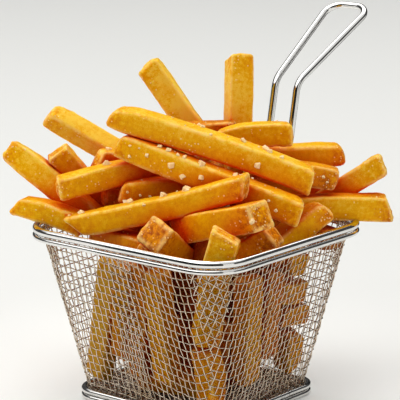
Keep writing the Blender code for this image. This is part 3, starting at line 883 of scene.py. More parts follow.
class Wall:
    """One sloping wall of the mesh with the corners beside it, unrolled flat.

    A flat place is its distance along the wall from the middle, and its distance up the slope.
    Past the wall's straight part it runs round the corner, which is part of a cone, and on over
    the next wall.
    """

    def __init__(self, turn, inset):
        self.turn = turn
        along, out = FOOT_HALF if turn % 2 == 0 else FOOT_HALF[::-1]
        self.half = along - inset
        self.out = out - inset
        self.radius = FOOT_RADIUS - inset
        self.slope = math.hypot(1.0, WALL_FLARE)
        drop = -self.radius / RADIUS_FLARE
        shift = (WALL_FLARE - RADIUS_FLARE) * drop
        self.tip = np.array([self.half - self.radius + shift,
                             -(self.out - self.radius) - shift, KNEE_Z + drop])
        self.tip_flat = np.array([self.tip[0], drop * self.slope])
        self.start = math.atan((WALL_FLARE - RADIUS_FLARE) / self.slope)
        self.turns = np.linspace(0.0, math.pi / 2, CONE_STEPS)
        spokes = self.spoke(self.turns)
        steps = np.arccos(np.clip((spokes[1:] * spokes[:-1]).sum(1), -1.0, 1.0))
        self.opening = np.concatenate([[0.0], np.cumsum(steps)])

    def spoke(self, angle):
        """Direction of the cone's straight line at an angle round the corner."""
        arc = np.stack([self.half - self.radius + self.radius * np.sin(angle),
                        -(self.out - self.radius) - self.radius * np.cos(angle),
                        np.full_like(angle, KNEE_Z)], -1)
        line = arc - self.tip
        return line / np.linalg.norm(line, axis=-1, keepdims=True)

    def wrap(self, across, up):
        """Place and outward direction of flat places, and how far past the corner's middle."""
        side = np.where(across < 0, -1.0, 1.0)
        away = np.abs(across) - self.tip_flat[0]
        rise = up - self.tip_flat[1]
        reach = np.hypot(away, rise)
        angle = np.arctan2(away, rise) - self.start
        flat = np.stack([np.abs(across), -self.out - up * WALL_FLARE / self.slope,
                         KNEE_Z + up / self.slope], -1)
        flat_out = np.array([0.0, -1.0, -WALL_FLARE]) / self.slope
        bend = np.interp(angle, self.opening, self.turns)
        cone = self.tip + reach[..., None] * self.spoke(bend)
        growth = (WALL_FLARE - RADIUS_FLARE) * (np.sin(bend) + np.cos(bend)) + RADIUS_FLARE
        cone_out = np.stack([np.sin(bend), -np.cos(bend), -growth], -1)
        cone_out /= np.linalg.norm(cone_out, axis=-1, keepdims=True)
        edge = self.spoke(np.array([math.pi / 2]))[0]
        ahead = np.array([0.0, 1.0, 0.0]) - edge[1] * edge
        ahead /= np.linalg.norm(ahead)
        past = angle - self.opening[-1]
        nextdoor = self.tip + reach[..., None] * (
            np.cos(past)[..., None] * edge + np.sin(past)[..., None] * ahead)
        nextdoor_out = np.array([1.0, 0.0, -WALL_FLARE]) / self.slope
        on_flat = (angle <= 0)[..., None]
        on_next = (past > 0)[..., None]
        place = np.where(on_flat, flat, np.where(on_next, nextdoor, cone))
        outward = np.where(on_flat, flat_out, np.where(on_next, nextdoor_out, cone_out))
        place[..., 0] *= side
        outward[..., 0] *= side
        spin = quarter_turn(self.turn)
        beyond = (angle - self.opening[-1] / 2) * reach
        return place @ spin, outward @ spin, beyond


def cut_chain(points, lifts, excess):
    """Keep the runs of a chain where excess is negative, cut off exactly where it is zero."""
    runs = []
    run = []
    for index in range(len(points)):
        inside = excess[index] < 0
        if index and inside != (excess[index - 1] < 0):
            share = excess[index - 1] / (excess[index - 1] - excess[index])
            place = points[index - 1] + (points[index] - points[index - 1]) * share
            run.append((place, lifts[index - 1] * (1 - share) + lifts[index] * share))
            if not inside:
                runs.append(run)
                run = []
        if inside:
            run.append((points[index], lifts[index]))
    runs.append(run)
    return [run for run in runs if len(run) > 2]


def weave_lines(across_pitch, up_pitch, across_count, up_range, surface, lean, drift=0.0):
    """Wires of a plain weave on a surface; each is its points, lifts and excess.

    surface gives places, outward directions and excess for flat places, lean the rise of the
    cross wires at a distance along the wall, and drift the sideways run of the upright ones.
    """
    halves = np.arange(-2 * across_count, 2 * across_count + 1) / 2.0
    rows = np.arange(2 * up_range[0], 2 * up_range[1] + 1) / 2.0
    across, row = np.meshgrid(halves, rows, indexing="ij")
    flat_across = across * across_pitch - drift * (row * up_pitch - MESH_TOP_Z)
    place, outward, excess = surface(flat_across, row * up_pitch + lean(flat_across))
    crossing = (across % 1 == 0) & (row % 1 == 0)
    sign = np.where(crossing, np.where((across + row) % 2 == 0, 1.0, -1.0), 0.0)
    lift = outward * sign[..., None]
    lines = []
    for index in range(0, len(halves), 2):
        lines.append((place[index], lift[index], excess[index]))
    for index in range(0, len(rows), 2):
        lines.append((place[:, index], -lift[:, index], excess[:, index]))
    return lines


def smooth_line(places, knots):
    """Heights along a line through knots in millimetres, its bends eased over a few of them."""
    along, height = np.array(knots, float).T * MM
    ease = np.linspace(-5, 5, 7) * MM
    return np.mean([np.interp(places + shift, along, height) for shift in ease], axis=0)


def wall_surface(wall, left, right, phase):
    """Surface function of one panel of mesh; left and right say where its sides end."""
    def surface(across, up):
        across = across + phase
        place, outward, beyond = wall.wrap(across, up)
        height = place[..., 2]
        excess = np.maximum(height - MESH_TOP_Z, MESH_FOOT_Z - height)
        for sign, (kind, *sizes) in ((-1, left), (1, right)):
            if kind == "cut":
                side = sign * across - sign * sizes[0]
            else:
                overlap, fade_z = sizes
                reach = 0.8 * MM + overlap * np.clip(
                    (height - fade_z) / (MESH_TOP_Z - fade_z), 0.0, 1.0)
                side = np.where(sign * across > 0, beyond - reach, -1.0)
            excess = np.maximum(excess, side)
        return place, outward, excess
    return surface


def floor_surface(across, up, rise):
    """Surface function of the basket's floor, at a height above the mesh's foot."""
    half = np.array(FOOT_HALF) - 0.7 * MM
    place = np.stack([across, up, np.full_like(across, MESH_FOOT_Z + rise)], -1)
    over = np.abs(place[..., :2]) - (half - FOOT_RADIUS)
    corner_over = np.hypot(*np.moveaxis(np.maximum(over, 0.0), -1, 0)) - FOOT_RADIUS
    excess = np.where((over > 0).all(-1), corner_over, (over - FOOT_RADIUS).max(-1))
    return place, np.broadcast_to([0.0, 0.0, 1.0], place.shape), excess


def woven_piece(name, lines, tree, sizes):
    """Draw the wires of a weave as one piece."""
    runs = [run for line in lines for run in cut_chain(*line)]
    chains = [[place for place, _ in run] for run in runs]
    lifts = [np.array([lift for _, lift in run]) for run in runs]
    piece = chain_piece(name, chains, lifts)
    apply_tree(piece, tree, sizes)
    give(piece, "mesh_steel", "mesh_basket")


def build_mesh(settings, material):
    """The woven walls, each a panel that wraps past its corners, and the woven floor."""
    tree = weave_tree()
    sizes = {"Diameter": settings.wire, "Crimp": settings.wire / 2,
             "Unevenness": settings.unevenness, "Sides": 5, "Material": material}
    pitches = (settings.pitch, settings.row_pitch)
    walls = []
    for turn, inset, left, right, phase, drift, rises in PANELS:
        surface = wall_surface(Wall(turn, inset * MM), left, right, phase * MM)
        walls += weave_lines(*pitches, 30, (-6, 30), surface,
                             lambda across: smooth_line(across, rises), drift)
    woven_piece("woven_walls", walls, tree, sizes)
    floor = weave_lines(*pitches, 14, (-11, 11),
                        lambda across, up: floor_surface(across, up, 0.4 * MM),
                        lambda across: 0.0 * across)
    # The walls' lower ends are turned in over the floor
    floor += weave_lines(*pitches, 14, (-11, 11),
                         lambda across, up: floor_surface(across + 1.1 * MM, up, 1.7 * MM),
                         lambda across: 1.2 * MM + 0.12 * across, 0.06)
    woven_piece("woven_floor", floor, tree, sizes)


def stick_axes(start, end, roll, upright=(0.0, 0.0, 1.0)):
    """A stick's three directions: along it, across it and its rise, which is nearest upright."""
    along = (end - start) / np.linalg.norm(end - start)
    side = np.cross(upright, along)
    side /= np.linalg.norm(side)
    rise = np.cross(along, side)
    turn = math.radians(roll)
    return np.array([along, side * math.cos(turn) + rise * math.sin(turn),
                     rise * math.cos(turn) - side * math.sin(turn)])


def stick_box(start, end, width, thick, roll, upright=(0.0, 0.0, 1.0)):
    """Middle, directions and half sizes of a fry given in millimetres."""
    start, end = np.array(start) * MM, np.array(end) * MM
    half = np.array([np.linalg.norm(end - start), width * MM, thick * MM]) / 2
    return (start + end) / 2, stick_axes(start, end, roll, upright), half


class Heap:
    """Boxes round the fries that are already placed, to keep the next ones clear of them."""

    def __init__(self):
        self.centres = np.zeros((0, 3))
        self.axes = np.zeros((0, 3, 3))
        self.halves = np.zeros((0, 3))

    def add(self, centre, axes, half):
        """Remember one more box."""
        self.centres = np.vstack([self.centres, centre])
        self.axes = np.concatenate([self.axes, axes[None]])
        self.halves = np.vstack([self.halves, half])

    def blocks(self, centre, axes, half):
        """Whether a box would overlap one that is there, by the separating axis test."""
        near = np.linalg.norm(self.centres - centre, axis=1) < (
            np.linalg.norm(self.halves, axis=1) + np.linalg.norm(half))
        if not near.any():
            return False
        frames, halves = self.axes[near], self.halves[near]
        turn = np.einsum("ik,njk->nij", axes, frames)
        gap = np.einsum("ik,nk->ni", axes, self.centres[near] - centre)
        size = np.abs(turn) + 1e-9
        apart = (np.abs(gap) > half + np.einsum("nij,nj->ni", size, halves)).any(1)
        apart |= (np.abs(np.einsum("ni,nij->nj", gap, turn))
                  > np.einsum("i,nij->nj", half, size) + halves).any(1)
        for one in range(3):
            two, three = (one + 1) % 3, (one + 2) % 3
            for other in range(3):
                second, third = (other + 1) % 3, (other + 2) % 3
                distance = np.abs(gap[:, three] * turn[:, two, other]
                                  - gap[:, two] * turn[:, three, other])
                room = (half[two] * size[:, three, other] + half[three] * size[:, two, other]
                        + halves[:, second] * size[:, one, third]
                        + halves[:, third] * size[:, one, second])
                apart |= distance > room
        return bool((~apart).any())


def inside_basket(corners):
    """Whether a box's corners are all inside the mesh and clear of the airy side corners."""
    x, y, z = corners.T
    flare = WALL_FLARE * (z - KNEE_Z)
    if z.min() < PACKED_LOW or z.max() > PACKED_HIGH:
        return False
    if (np.abs(x) - FOOT_HALF[0] - flare).max() > -PACKED_ROOM:
        return False
    if (np.abs(y) - FOOT_HALF[1] - flare).max() > -PACKED_ROOM:
        return False
    bevel = (np.abs(x) + np.abs(y) - FOOT_HALF[0] - FOOT_HALF[1] - 2 * flare).max()
    if bevel > -PACKED_ROOM - 0.6 * FOOT_RADIUS - 2 * MM:
        return False
    if (NEAR_WAY[0] * x + NEAR_WAY[1] * y).max() > NEAR_LIMIT and z.max() > NEAR_HEIGHT:
        return False
    across = SIDE_WAY[0] * x + SIDE_WAY[1] * y
    left_limit = LEFT_LIMIT - 0.10 * (z - 20 * MM)
    floor_gap = ((across < LEFT_FLOOR[0]) & (z < LEFT_FLOOR[1])
                 | (across > RIGHT_FLOOR[0]) & (z < RIGHT_FLOOR[1]))
    airy = (across < left_limit) | (across > RIGHT_LIMIT) | floor_gap
    return not (airy & (z < AIRY_HEIGHT)).any()


def inside_mound(corners):
    """Whether a box's corners are inside the mound above the rim."""
    x, y, z = corners.T
    share = (z - MOUND_FOOT) / MOUND_HEIGHT
    if share.min() < 0 or share.max() > 1:
        return False
    half_x, half_y = ((half - 30 * share) * MM for half in MOUND_HALF)
    nearness = (NEAR_WAY[0] * x + NEAR_WAY[1] * y).max()
    return nearness < NEAR_LIMIT and not (
        (np.abs(x) > half_x) | (np.abs(y - 16 * MM * share) > half_y)).any()


def try_stick(heap, centre, axes, half, allowed):
    """Place a box if it fits; say whether it did."""
    signs = np.array([(a, b, c) for a in (-1, 1) for b in (-1, 1) for c in (-1, 1)])
    corners = centre + (signs * half) @ axes
    if not allowed(corners) or heap.blocks(centre, axes, half):
        return False
    heap.add(centre, axes, half)
    return True


def lean_on_wall(random, inset, layer, lengths):
    """A stick chosen at random in a layer against the mesh: its middle, axes and half sizes."""
    turn = random.integers(4)
    out_half = (FOOT_HALF[1] if turn % 2 == 0 else FOOT_HALF[0]) - inset * MM
    across = random.uniform(-46, 46) * MM
    up = random.uniform(6, 74) * MM
    lean = random.normal(0.0, 0.42)
    if random.random() < 0.22:
        lean = random.uniform(-1.5, 1.5)
    tilt = random.normal(0.0, 0.05 + 0.12 * (layer > 0))
    slope = math.atan(WALL_FLARE)
    wall_up = np.array([0.0, -math.sin(slope), math.cos(slope)])
    wall_out = np.array([0.0, -math.cos(slope), -math.sin(slope)])
    along = wall_up * math.cos(lean) + np.array([math.sin(lean), 0.0, 0.0]) + wall_out * tilt
    along /= np.linalg.norm(along)
    side = np.cross(wall_out, along)
    side /= np.linalg.norm(side)
    axes = np.array([along, side, np.cross(along, side)])
    centre = np.array([across, -out_half, KNEE_Z]) + wall_up * up
    length = random.uniform(*lengths) * MM
    half = np.array([length, random.uniform(8.8, 9.8) * MM, random.uniform(8.6, 9.4) * MM]) / 2
    spin = quarter_turn(turn)
    return centre @ spin, axes @ spin, half


def lie_on_mound(random, lengths):
    """A stick chosen at random in the mound above the rim, in the same terms."""
    centre = np.array([random.uniform(-44, 44), random.uniform(-44, 52),
                       random.uniform(76, 102)]) * MM
    heading = random.uniform(0, math.pi)
    rise = random.normal(0.0, 0.28)
    end = np.array([math.cos(heading), math.sin(heading), math.tan(rise)])
    axes = stick_axes(np.zeros(3), end, random.uniform(-20, 20))
    half = np.array([random.uniform(*lengths) * MM, random.uniform(8.8, 9.8) * MM,
                     random.uniform(8.6, 9.6) * MM]) / 2
    return centre, axes, half


def pack_sticks(heap, random, tries):
    """Fill the basket with sticks: against the walls first, then behind them, then the mound."""
    placed = []
    for layer, inset in enumerate(LAYER_INSETS):
        for lengths in LAYER_LENGTHS:
            for _ in range(tries):
                stick = lean_on_wall(random, inset, layer, lengths)
                if try_stick(heap, *stick, inside_basket):
                    placed.append((*stick, layer))
    for lengths in MOUND_LENGTHS:
        for _ in range(2 * tries):
            stick = lie_on_mound(random, lengths)
            if try_stick(heap, *stick, inside_mound):
                placed.append((*stick, 1))
    return placed


def section(edge, arc_steps, side_shares):
    """Outline of a square of side 2 with round corners, and how near each point is to one."""
    points = []
    near = []
    for sign_y, sign_z, start in ((1, 1, 0), (-1, 1, 90), (-1, -1, 180), (1, -1, 270)):
        for step in range(arc_steps + 1):
            angle = math.radians(start + 90.0 * step / arc_steps)
            points.append((sign_y * (1 - edge) + edge * math.cos(angle),
                           sign_z * (1 - edge) + edge * math.sin(angle)))
            near.append(1.0 - abs(2 * step / arc_steps - 1))
        y, z = points[-1]
        for share in side_shares:
            reach = 2 * (1 - edge) * share
            turn = math.radians(start + 180)
            points.append((y + reach * math.cos(turn), z + reach * math.sin(turn)))
            near.append(0.0)
    return np.array(points), np.array(near)


def stick_rings(half_length, edges, spacing):
    """The rings of points along a stick whose ends are rounded by the given edges.

    Gives each ring's place, how far it is drawn in by the rounding, and its share of full size.
    """
    first_edge, last_edge = edges
    steps = max(4, round((2 * half_length - first_edge - last_edge) / spacing))
    body = np.linspace(-half_length + first_edge, half_length - last_edge, steps + 1)
    rims = [(1 - math.sin(angle), 1 - math.cos(angle))
            for angle in np.linspace(0, math.pi / 2, 4)[:-1]]
    rings = [(-half_length, first_edge, share) for share in END_SHARES]
    rings += [(-half_length + back * first_edge, drawn * first_edge, 1.0) for drawn, back in rims]
    rings += [(place, 0.0, 1.0) for place in
              (body[0], body[0] + CRUST, *body[1:-1], body[-1] - CRUST, body[-1])]
    rings += [(half_length - back * last_edge, drawn * last_edge, 1.0)
              for drawn, back in reversed(rims)]
    rings += [(half_length, last_edge, share) for share in reversed(END_SHARES)]
    return np.array(rings).T


class Sticks:
    """Gathers the surfaces of many sticks into one mesh."""

    def __init__(self, random, arc_steps, side_shares, spacing):
        self.random = random
        self.arc_steps = arc_steps
        self.side_shares = side_shares
        self.spacing = spacing
        self.points = []
        self.faces = []
        self.notes = {"edge": [], "tip": [], "tone": [], "grain": []}
        self.count = 0

    def wobble(self, along, size):
        """A smooth random line along a stick."""
        line = np.zeros_like(along)
        for waves in (0.7, 1.6, 3.1):
            line += self.random.normal() / (1 + waves) * np.sin(
                waves * 2.2 * along + self.random.uniform(0, math.tau))
        return size * line

    def cut(self, half, corner, across, rise, place, full, ends):
        """Points of a stick from its even outline: its faces sink and its ends slant and taper."""
        random = self.random
        share = place / half[0]
        far = np.clip((np.abs(place) - (half[0] - END_REACH)) / END_REACH, 0, 1) ** 1.6
        hollow = ((0.35 + 0.65 * (1 - far)) * full)[:, None]
        bulge = 0.012 * corner / MM
        sink = [(random.uniform(-2.2, 0.6) * bulge * (1 + self.wobble(share, 0.5)))[:, None]
                for _ in range(4)]
        rise_sink = np.where(rise > 0, sink[0], sink[1]) * hollow
        across_sink = np.where(across > 0, sink[2], sink[3]) * hollow
        z = rise - np.sign(rise) * rise ** 2 * (1 - across ** 2) * rise_sink
        y = across - np.sign(across) * across ** 2 * (1 - rise ** 2) * across_sink
        slant_y, slant_z, taper = [
            np.where(place < 0, first, last) * far for first, last in list(zip(*ends))[:3]]
        y = y * (half[1] * (1 + self.wobble(share, 0.022)) * (1 - 0.6 * taper))[:, None]
        z = z * (half[2] * (1 + self.wobble(share, 0.022)) * (1 - taper))[:, None]
        crown = np.where(place < 0, random.uniform(-0.3, 0.7), random.uniform(-0.3, 0.7)) * MM
        x = place + (1 - full ** 2) * np.sign(place) * crown
        return x[:, None] + slant_y[:, None] * y + slant_z[:, None] * z, y, z

    def bend(self, y, z, share, arch):
        """Twist a stick and bow it both ways."""
        random = self.random
        twist = random.normal(0, 0.05) * share[:, None]
        y, z = y * np.cos(twist) - z * np.sin(twist), y * np.sin(twist) + z * np.cos(twist)
        bow = 1 - share ** 2
        lift = (arch + random.normal(0, 0.3 * MM)) * bow + self.wobble(share, 0.25 * MM)
        drift = random.normal(0, 0.5 * MM) * bow + self.wobble(share, 0.25 * MM)
        return y + drift[:, None], z + lift[:, None]

    def skin(self, rows):
        """Faces over rows of points, with a fan at each end; the two end points come last."""
        inner, around = rows.shape[0] - 2, rows.shape[1]
        first = self.count
        low, high = first + inner * around, first + inner * around + 1
        last = first + (inner - 1) * around
        for here in range(first, last, around):
            for step in range(around):
                after = (step + 1) % around
                self.faces.append((here + step, here + after, here + around + after,
                                   here + around + step))
        for step in range(around):
            after = (step + 1) % around
            self.faces.append((low, first + after, first + step))
            self.faces.append((high, last + step, last + after))
        self.count += inner * around + 2

    def add(self, centre, axes, half, arch, tone, cuts=(None, None), corner=None):
        """Add one stick. cuts holds each end's slant across and in rise, taper and roundness."""
        random = self.random
        corner = corner or random.uniform(1.0, 1.6) * MM
        outline, near = section(2 * corner / (half[1] + half[2]), self.arc_steps, self.side_shares)
        ends = [cut or (random.normal(0, 0.16), random.normal(0, 0.16), random.uniform(0, 0.12),
                        random.uniform(0.8, 1.8)) for cut in cuts]
        place, drawn, full = stick_rings(half[0], [end[3] * MM for end in ends], self.spacing)
        across, rise = (outline[:, side] * ((1 - drawn / half[1 + side]) * full)[:, None]
                        for side in (0, 1))
        x, y, z = self.cut(half, corner, across, rise, place, full, ends)
        y, z = self.bend(y, z, place / half[0], arch * MM)
        local = np.stack([x, y, z], -1)
        reach = half[0] - np.abs(place)
        # The pale line round each end: partly worn crust, partly painted highlight
        rim = np.exp(-(reach / WORN_AND_HIGHLIGHT_REACH) ** 2) * (full > 0.75)
        # Painted light and shade: the tone is made paler towards a stick's upper side and browner
        # towards its underside, as light from above falls
        under = np.clip(-rise, 0, 1) ** 2
        notes = {
            "edge": np.maximum(near * (full > 0.9)[:, None], rim[:, None]),
            "tip": np.repeat(np.clip(1 - reach / TIP_REACH, 0, 1)[:, None], len(near), 1),
            "tone": tone - 0.08 * rise + 0.10 * under,
            "grain": local + random.uniform(-1, 1, 3)}
        for rows, kept in ((centre + local @ axes, self.points),
                           *((notes[name], self.notes[name]) for name in notes)):
            kept.append(rows[1:-1].reshape(-1, *rows.shape[2:]))
            kept.append(rows[[0, -1], 0])
        self.skin(local)

    def piece(self, name, tree, sizes):
        """Turn what was gathered into a finished piece."""
        data = bpy.data.meshes.new(name)
        points = np.concatenate(self.points) + np.array(FOOT)
        data.from_pydata(points.tolist(), [], self.faces)
        for label, rows in self.notes.items():
            values = np.concatenate(rows).astype(np.float32)
            kind = ("FLOAT_VECTOR", "vector") if values.ndim == 2 else ("FLOAT", "value")
            made = data.attributes.new(label, kind[0], "POINT")
            made.data.foreach_set(kind[1], values.ravel())
        apply_tree(new_piece(name, data), tree, sizes)


def build_fries(settings, material):
    """The heap's fries, and those packed inside the basket."""
    random = np.random.default_rng(settings.seed)
    heap = Heap()
    top = Sticks(random, 4, (0.08, 0.36, 0.64, 0.92), 1.7 * MM)
    front, side = (0.0, -1.0, -WALL_FLARE), (1.0, 0.0, -WALL_FLARE)
    for rows, upright in ((HEAP_FRIES, (0.0, 0.0, 1.0)), (FRONT_WALL_FRIES, front),
                          (SIDE_WALL_FRIES, side)):
        for _, start, end, width, thick, roll, arch, tone, *cuts in rows:
            centre, axes, half = stick_box(start, end, width, thick, roll, upright)
            heap.add(centre, axes, half - 0.25 * MM)
            roundness = min(1.7, 0.60 + 0.5 * cuts[0][3]) if cuts[0] else random.uniform(1.1, 1.6)
            top.add(centre, axes, half, arch, tone, cuts, roundness * MM)
    tree = fried_tree()
    sizes = {"Pucker": settings.pucker, "Pucker Size": 7 * MM, "Grain": settings.grain,
             "Grain Size": 1.8 * MM, "Blister": settings.blister, "Blister Size": 3.2 * MM,
             "Material": material}
    top.piece("heap_fries", tree, sizes)
    for gap, upright in ((FRONT_WALL_GAP, front), (SIDE_WALL_GAP, side)):
        heap.add(*stick_box(*gap, 0, upright))
    under = Sticks(random, 2, (0.12, 0.88), 3.2 * MM)
    for centre, axes, half, layer in pack_sticks(heap, random, settings.packing):
        # Deeper layers get a browner tone: painted shade for the dark gaps deep in the basket
        under.add(centre, axes, half, 0.0, random.uniform(0.25, 0.6) + 0.35 * layer)
    under.piece("basket_fries", tree, sizes)


def build_core(material):
    """The middle of the pile, out of sight behind the fries: a rough block with a broken face."""
    mesh = bmesh.new()
    bmesh.ops.create_cube(mesh, size=2.0)
    bmesh.ops.subdivide_edges(mesh, edges=list(mesh.edges), cuts=18, use_grid_fill=True)
    low, high = 9 * MM, 80 * MM
    for vert in mesh.verts:
        share = (vert.co.z + 1) / 2
        spread = (17 + 9 * share) * MM
        place = Vector((vert.co.x * spread, vert.co.y * spread * 0.95 + 4 * MM * share,
                        low + (high - low) * share))
        ridge = noise.noise(Vector((place.x / (5 * MM), place.y / (5 * MM), place.z / (22 * MM))))
        lump = noise.noise(place / (9 * MM))
        vert.co = place * (1 + 0.05 * ridge + 0.04 * lump)
        vert.co.z = place.z + 0.6 * MM * lump
    bmesh.ops.recalc_face_normals(mesh, faces=mesh.faces)
    data = finish_mesh(mesh, "fries_core", material, FOOT)
    data.shade_smooth()
    places = np.empty(len(data.vertices) * 3, np.float32)
    data.vertices.foreach_get("co", places)
    # Painted shade: the hidden middle gets a dark brown tone, for the dark gaps between the fries
    tone = data.attributes.new("tone", "FLOAT", "POINT")
    tone.data.foreach_set("value", np.full(len(data.vertices), 0.85, np.float32))
    data.attributes.new("grain", "FLOAT_VECTOR", "POINT").data.foreach_set("vector", places)
    new_piece("fries_core", data)


def crystal(name, random):
    """One flake of salt about a millimetre across: a cube worn at its corners."""
    mesh = bmesh.new()
    bmesh.ops.create_cube(mesh, size=MM)
    for vert in mesh.verts:
        vert.co += Vector(random.uniform(-0.16, 0.16, 3)) * MM
    bmesh.ops.scale(mesh, vec=random.uniform(0.8, 1.1, 3), verts=mesh.verts)
    bmesh.ops.bevel(mesh, geom=list(mesh.edges), offset=0.12 * MM, segments=1,
                    affect="EDGES", profile=0.5)
    return bpy.data.objects.new(name, finish_mesh(mesh, name))


def salt_spots():
    """A point for each big flake of salt, with its size."""
    boxes = {row[0]: stick_box(*row[1:6]) for row in HEAP_FRIES}
    points = []
    sizes = []
    for name, spots in SALT_SPOTS:
        centre, axes, half = boxes[name]
        for along, across, rise, size in spots:
            points.append(centre + np.array([along * MM - half[0], across * half[1],
                                             rise * half[2]]) @ axes + np.array(FOOT))
            sizes.append(size)
    data = bpy.data.meshes.new("salt_spots")
    data.from_pydata([tuple(point) for point in points], [], [])
    data.attributes.new("size", "FLOAT", "POINT").data.foreach_set("value", sizes)
    return new_piece("salt_spots", data)


def build_salt(settings, material):
    """Flakes of salt caught on the upper faces of the heap."""
    random = np.random.default_rng(settings.salt_seed)
    kinds = bpy.data.collections.new("salt_kinds")
    for index in range(4):
        kinds.objects.link(crystal(f"flake_{index}", random))
    spots = salt_spots()
    piece = new_piece("salt", bpy.data.objects["heap_fries"].data.copy())
    apply_tree(piece, salt_tree(), {
        "Crystals": kinds, "Spots": spots, "Density": settings.salt_density, "Smallest": 0.35,
        "Largest": 1.10, "Seed": settings.salt_seed, "Middle": FOOT + Vector((0, -6, 105)) * MM,
        "Spread": 46 * MM, "Material": material})
    for used in [spots, *kinds.objects]:
        data = used.data
        bpy.data.objects.remove(used)
        bpy.data.meshes.remove(data)
    bpy.data.collections.remove(kinds)
    give(piece, "fried_potato")


def area_light(name, place, aim, size, power):
    """A soft rectangular light aimed at a point."""
    lamp = bpy.data.lights.new(name, "AREA")
    lamp.shape = "RECTANGLE"
    lamp.size, lamp.size_y = size
    lamp.energy = power
    lamp.color = (1.0, 0.99, 0.97)
    light = bpy.data.objects.new(name, lamp)
    light.location = place
    light.rotation_euler = (Vector(aim) - Vector(place)).to_track_quat("-Z", "Y").to_euler()
    bpy.context.scene.collection.objects.link(light)
    return light


def dark_card(name, middle, near, right, start, stop):
    """A curved black card that stands round the basket and is seen only in its wires."""
    mesh = bmesh.new()
    columns = []
    for angle in np.radians(np.linspace(start, stop, 13)):
        way = near * math.cos(angle) + right * math.sin(angle)
        foot = Vector((middle.x, middle.y, FOOT.z)) + way * CARD_DISTANCE
        columns.append([mesh.verts.new(foot + Vector((0, 0, up))) for up in CARD_HEIGHTS])
    for here, after in zip(columns, columns[1:]):
        mesh.faces.new((here[0], here[1], after[1], after[0]))
    material, _, shader = new_material(name, roughness=1.0)
    shader.inputs["Base Color"].default_value = (0.01, 0.01, 0.01, 1.0)
    card = new_piece(name, finish_mesh(mesh, name, material))
    card.visible_camera = card.visible_diffuse = card.visible_shadow = False


def build_floor(settings):
    """The pale floor, with painted light: brighter near the basket, where it lifts the basket's
    shadow, and duller further off, as the light falls away.
    """
    material, tree, shader = new_material("pale_floor", roughness=0.6)
    place = add_node(tree, "ShaderNodeTexCoord").outputs["Object"]
    # Painted light: the floor's colour is lighter near the basket and duller from a few centimetres
    # out
    far = remap(tree, vector_maths(tree, "DISTANCE", place, tuple(FOOT)), 0.03, 0.20)
    painted_falloff_colour = tuple(0.80 * part for part in settings.floor_colour) + (1.0,)
    tree.links.new(mix_colour(tree, far, (*settings.floor_colour, 1.0), painted_falloff_colour),
                   shader.inputs["Base Color"])
    mesh = bmesh.new()
    bmesh.ops.create_grid(mesh, x_segments=2, y_segments=2, size=8.0)
    floor = new_piece("floor", finish_mesh(mesh, "floor", material))


def build_world(settings):
    """Even light from above, which the bright wires mirror only from higher up."""
    world = bpy.data.worlds.new("studio")
    world.use_nodes = True
    bpy.context.scene.world = world
    tree = world.node_tree
    direction = add_node(tree, "ShaderNodeTexCoord").outputs["Generated"]
    height = add_node(tree, "ShaderNodeSeparateXYZ", {0: direction}).outputs["Z"]
    sky = colour_ramp(tree, height, (
        (0.0, (0.06, 0.055, 0.05)), (0.44, (0.03, 0.03, 0.03)), (0.58, (0.60, 0.60, 0.60)),
        (1.0, (1.0, 1.0, 0.99))))
    mirrored = remap(tree, height, 0.55, 0.70, 0.08, 1.1)
    glossy = add_node(tree, "ShaderNodeLightPath").outputs["Is Glossy Ray"]
    back = tree.nodes["Background"]
    tree.links.new(mix_colour(tree, glossy, sky, mirrored), back.inputs["Color"])
    back.inputs["Strength"].default_value = settings.sky


def build_camera(settings):
    """The camera, turned round the basket and lifted above the floor."""
    turn, lift = settings.camera_turn, settings.camera_lift
    back_way = Vector((math.sin(turn) * math.cos(lift), -math.cos(turn) * math.cos(lift),
                       math.sin(lift)))
    data = bpy.data.cameras.new("camera")
    data.sensor_width = 36.0
    data.lens = settings.camera_lens
    data.clip_start, data.clip_end = 0.01, 50.0
    camera = bpy.data.objects.new("camera", data)
    bpy.context.scene.collection.objects.link(camera)
    target = FOOT + Vector((1.13, 0.92, 83.74)) * MM
    camera.location = target + back_way * settings.camera_distance
    camera.rotation_mode = "QUATERNION"
    camera.rotation_quaternion = (-back_way).to_track_quat("-Z", "Y")
    bpy.context.scene.camera = camera


def build_stage(settings):
    """The floor, the soft light and the camera."""
    build_floor(settings)
    build_world(settings)
    turn = settings.camera_turn
    middle = FOOT + Vector((0, 0, 70 * MM))
    right = Vector((math.cos(turn), math.sin(turn), 0))
    near = Vector((math.sin(turn), -math.cos(turn), 0))
    for name, offset, size, source, share, mirrored in LIGHTS:
        place = middle + right * offset[0] + near * offset[1] + Vector((0, 0, offset[2]))
        light = area_light(name, place, middle, size, getattr(settings, source) * share)
        light.visible_glossy = mirrored
    for name, start, stop in CARDS:
        dark_card(name, middle, near, right, start, stop)
    build_camera(settings)
    bpy.context.scene.view_settings.view_transform = "Standard"
    bpy.context.scene.view_settings.look = "None"


def number_property(label, text, default, **limits):
    """A property that holds a number."""
    return bpy.props.FloatProperty(name=label, description=text, default=default, **limits)


def length_property(label, text, default):
    """A property that holds a length."""
    return number_property(label, text, default, min=0.0, unit="LENGTH", subtype="DISTANCE",
                           precision=5)


def finish_property(label, text, default):
    """A property that holds a roughness."""
    return number_property(label, text, default, min=0.0, max=1.0)


def colour_property(label, text, default):
    """A property that holds a colour."""
    return bpy.props.FloatVectorProperty(name=label, description=text, default=default, size=3,
                                         min=0.0, max=1.0, subtype="COLOR")


class WireSettings(bpy.types.PropertyGroup):
    """Sizes of the bright wires"""

    rim_upper: length_property("Upper rim", "Diameter of the upper wire of the rim", 3.2 * MM)
    rim_lower: length_property("Lower rim", "Diameter of the lower wire of the rim", 2.2 * MM)
    base: length_property("Base", "Diameter of the two wires of the base", 2.4 * MM)
    handle: length_property("Handle", "Diameter of the handle's wire", 3.0 * MM)


